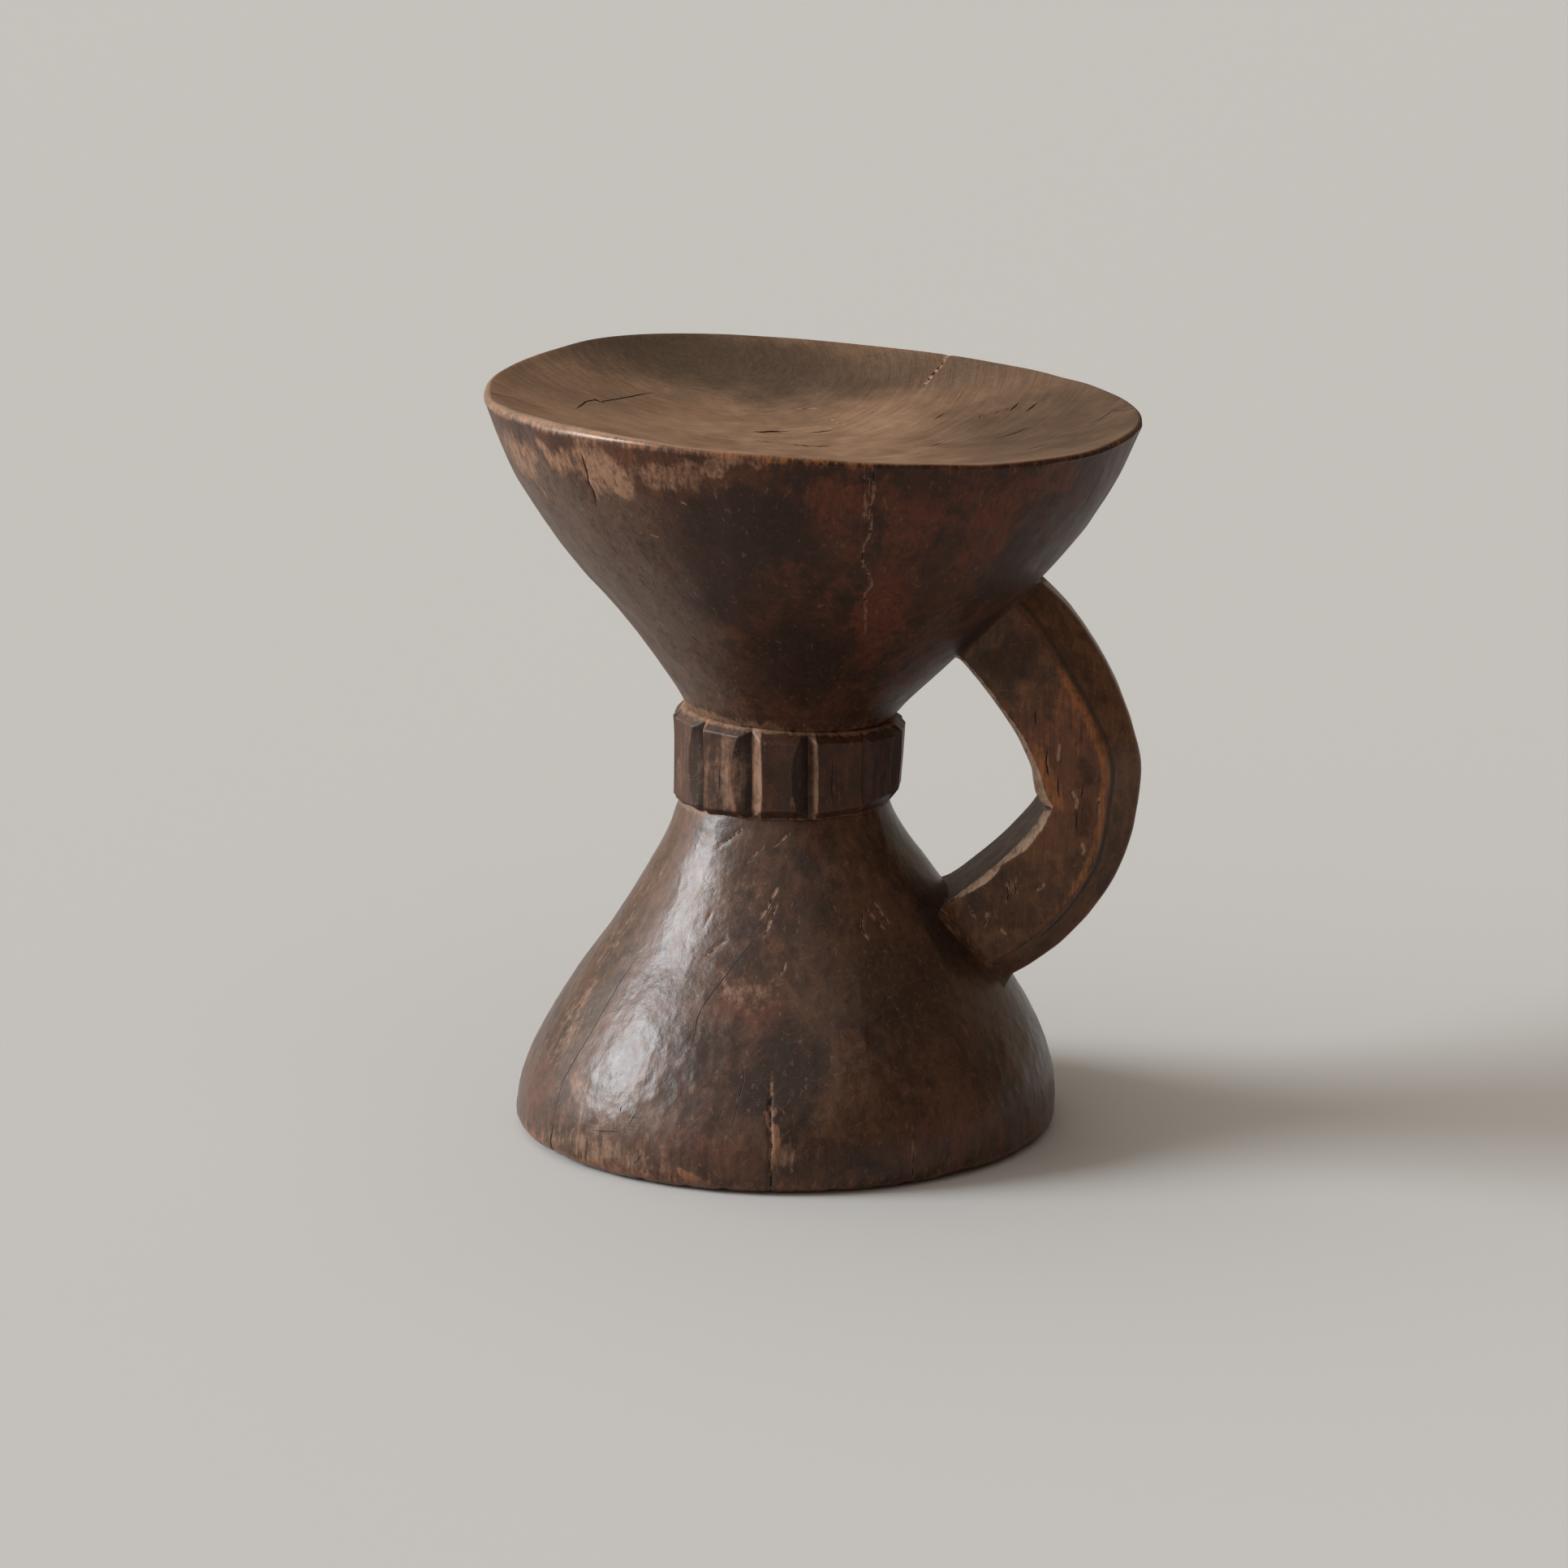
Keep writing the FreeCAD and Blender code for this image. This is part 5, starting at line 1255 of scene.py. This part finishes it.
sharedColors = {
    "crack": "#0d0806", "fray": "#7d5443", "raw": "#68503f", "worn": "#785742", "ochre": "#744628",
    "ruddy": "#4c2b20", "soot": "#1b1210",
}
woodLooks = {
    # Smoked and adzed: near-black clouds with red-brown between, bare tan under the rim, matt.
    "smokedHardwoodSeat": {
        "colors": {
            **sharedColors, "fray": "#94705c", "worn": "#86644e", "dark": "#2e1d16", "mid": "#43291d",
            # The last, greyish-brown colour below paints light on the left side of the wall.
            "warm": "#4d2c1d", "ruddy": "#552d20", "soot": "#251a16", "dusty": "#4f3e33",
            "dishLight": "#7c614d", "dishMid": "#6e5542", "dishDark": "#4c3e32",
        },
        "layers": {
            "ruddy": (0.6, 0.2, 0.7, 0.9), "soot": (0.6, 0.25, 0.75, 0.85), "dusty": (0.4, 0.1, 0.9, 0.8),
            "worn": (0.7, 0.25, 0.85, 0.75), "ochre": (0.9, 0.35, 0.7, 0.7), "raw": (0.9, 0.25, 0.7, 0.8),
        },
        "dish": {
            "pith": (-41, 135, 0),
            "rings": {"band": (2.8, 46, 4.0), "line": (0.8, 34, 2.0)},  # width, length, detail
            "ringRadius": 150,  # distance from the pith at which the lengths hold
            "ringRoughness": 0.6,
            # Noise values and the shades that they give.
            "shades": {
                "band": (0.3, 0.7, 0.88, 1.12),
                "line": (0.25, 0.6, 0.78, 1.06),
                "mottle": (0.3, 0.7, 0.88, 1.12),
            },
            "backBroken": 0.5,
            "backLimits": (0.8, 1.9),
            "dull": 0.6,  # share of the shine that the dry dish loses
        },
        "ink": 0.5, "rub": 0.3, "scratch": 0.07, "grain": (0.75, 1.25),
        "roughness": 0.45, "shine": 0.22, "shineColor": "#f7e8dc", "matt": {"raw": 0.2, "dry": 0.3},
        "relief": {"fiber": 0.07, "streak": 0.1, "dimple": 0.1, "ragged": 0.05},
    },
    # Planed with a knife: clean flat faces with fine upright fibres and bare wood in the creases.
    "planedHardwoodCollar": {
        # The pale worn colour also paints a highlight on the valleys' right walls, and the soot colour paints
        # shade on their left walls.
        "colors": {
            **sharedColors, "raw": "#7a5b46", "worn": "#82634e", "dark": "#2a1a12", "mid": "#3a2318",
            "warm": "#43281a",
        },
        "layers": {
            "ruddy": (0.6, 0.25, 0.75, 0.85), "soot": (0.3, 0.2, 0.7, 0.7), "worn": (0.6, 0.2, 0.85, 0.8),
            "ochre": (0.9, 0.35, 0.75, 0.6), "raw": (0.9, 0.25, 0.7, 0.8),
        },
        "ink": 0.4, "rub": 0.25, "scratch": 0.15, "grain": (0.86, 1.14),
        "roughness": 0.46, "shine": 0.3, "shineColor": "#f9eee6", "matt": {"raw": 0.25, "soot": 0.2},
        "relief": {"fiber": 0.04, "streak": 0.04, "ragged": 0.03},
    },
    # Rubbed to a satin skin over adze dimples: the light breaks up in it.
    "rubbedHardwoodBase": {
        "colors": {
            **sharedColors, "fray": "#7c604e", "ochre": "#6f4a36", "worn": "#745a48", "dark": "#2f2019",
            "mid": "#453023", "warm": "#4c3225",
        },
        "layers": {
            "ruddy": (0.6, 0.25, 0.75, 0.8), "soot": (0.6, 0.25, 0.75, 0.8), "worn": (0.9, 0.35, 0.8, 0.6),
            "ochre": (0.9, 0.3, 0.75, 0.8), "raw": (0.9, 0.25, 0.7, 0.8),
        },
        "ink": 0.38, "rub": 0.4, "scratch": 0.18, "grain": (0.82, 1.18),
        "roughness": 0.32, "shine": 0.29, "shineColor": "#fbf6f4",
        "matt": {"worn": 0.06, "ochre": 0.15, "raw": 0.2},
        "relief": {"fiber": 0.03, "streak": 0.04, "dimple": 0.25, "ragged": 0.05},
    },
    # Worn by the grip: the middle of the bow shows warm orange wood, the roots stay dark.
    "gripWornHardwoodHandle": {
        "colors": {
            # The pale raw colour below paints highlights on strips along the inner edges, and the soot colour
            # paints shade on the bevel, the steep strip and the lower arm's inner face.
            **sharedColors, "raw": "#ad9380", "fray": "#967a66", "soot": "#221712", "ochre": "#805030",
            "ruddy": "#5a3627", "dark": "#3a271d", "mid": "#553828", "warm": "#60402b",
        },
        "layers": {
            "ruddy": (0.6, 0.3, 0.8, 0.8), "soot": (0.6, 0.25, 0.75, 0.7), "worn": (0.9, 0.35, 0.75, 0.7),
            "ochre": (0.8, 0.3, 0.8, 0.85), "raw": (1.0, 0.35, 0.95, 0.9),
        },
        "ink": 0.45, "rub": 0.35, "scratch": 0.35, "grain": (0.74, 1.26),
        "roughness": 0.36, "shine": 0.35, "shineColor": "#f6e6d6", "matt": {"soot": 0.35, "raw": -0.1},
        "relief": {"fiber": 0.08, "streak": 0.1, "dimple": 0.06, "ragged": 0.06},
    },
}
woods = {name: carvedWood(name, look) for name, look in woodLooks.items()}
print("materials:", ", ".join(woods))

place(makeSeatBowl(), woods["smokedHardwoodSeat"], "seat_bowl")
place(makeWaistCollar(), woods["planedHardwoodCollar"], "waist_collar")
place(makeBaseFlare(), woods["rubbedHardwoodBase"], "base_flare")
place(makeHandle(), woods["gripWornHardwoodHandle"], "handle")


# Floor, light and camera, in metres

stageLook = {
    "floorColor": "#a2a09e",
    "floorRadius": 9.0,
    "floorCorners": 96,
    "floorRoughness": 0.85,
    "skyColor": "#ead2b4",
    "skyStrength": 0.08,
    # Soft lights: direction they come from, width in degrees, strength, colour.
    "lights": {
        "keyLight": {"aim": (-0.882, -0.03, 0.469), "width": 27, "strength": 4.6, "color": (0.87, 0.94, 1.0)},
        "softLight": {"aim": (-0.62, -0.2, 0.76), "width": 130, "strength": 2.2, "color": (1.0, 0.94, 0.86)},
        "backLight": {"aim": (0.05, 0.96, 0.28), "width": 120, "strength": 0.75, "color": (1.0, 0.88, 0.72)},
        "lowLight": {"aim": (-0.97, -0.03, 0.12), "width": 80, "strength": 1.7, "color": (1.0, 0.93, 0.85)},
        "warmLight": {"aim": (0.85, -0.45, 0.15), "width": 100, "strength": 0.4, "color": (1.0, 0.6, 0.36)},
    },
    "cameraPlace": (0.0, -3.2, 0.959),
    "cameraPitch": 76.28,
    "cameraLens": 147.56,
}


def makeFloor():
    # A flat floor: one polygon with its corners on a circle.
    turn = np.linspace(0, 2 * np.pi, stageLook["floorCorners"], endpoint=False)
    rim = np.stack([np.cos(turn), np.sin(turn), np.zeros_like(turn)], axis=-1) * stageLook["floorRadius"]
    mesh = bpy.data.meshes.new("floor")
    mesh.from_pydata(rim.tolist(), [], [list(range(len(turn)))])
    floor = bpy.data.objects.new("floor", mesh)
    bpy.context.scene.collection.objects.link(floor)
    material = bpy.data.materials.new("plainPaleFloor")  # an even, matt grey that the shadow falls on
    material.use_nodes = True
    shader = material.node_tree.nodes["Principled BSDF"]
    shader.inputs["Base Color"].default_value = linear(stageLook["floorColor"])
    shader.inputs["Roughness"].default_value = stageLook["floorRoughness"]
    mesh.materials.append(material)


def addSoftLight(name, look):
    # A broad far light whose Z axis points to where the light comes from.
    light = bpy.data.lights.new(name, "SUN")
    light.angle = np.radians(look["width"])
    light.energy = look["strength"]
    light.color = look["color"]
    lamp = bpy.data.objects.new(name, light)
    lamp.rotation_euler = Vector(look["aim"]).to_track_quat("Z", "Y").to_euler()
    bpy.context.scene.collection.objects.link(lamp)


makeFloor()
for lightName, lightLook in stageLook["lights"].items():
    addSoftLight(lightName, lightLook)
scene = bpy.context.scene
world = bpy.data.worlds.new("softSky")
world.use_nodes = True
sky = world.node_tree.nodes["Background"]
sky.inputs["Color"].default_value = linear(stageLook["skyColor"])
sky.inputs["Strength"].default_value = stageLook["skyStrength"]
scene.world = world

lens = bpy.data.cameras.new("camera")
lens.lens = stageLook["cameraLens"]
lens.sensor_width = 36.0
lens.clip_end = 50.0
camera = bpy.data.objects.new("camera", lens)
camera.location = stageLook["cameraPlace"]
camera.rotation_euler = (np.radians(stageLook["cameraPitch"]), 0, 0)
scene.collection.objects.link(camera)
scene.camera = camera
scene.view_settings.view_transform = "Standard"
print("floor, light and camera set")
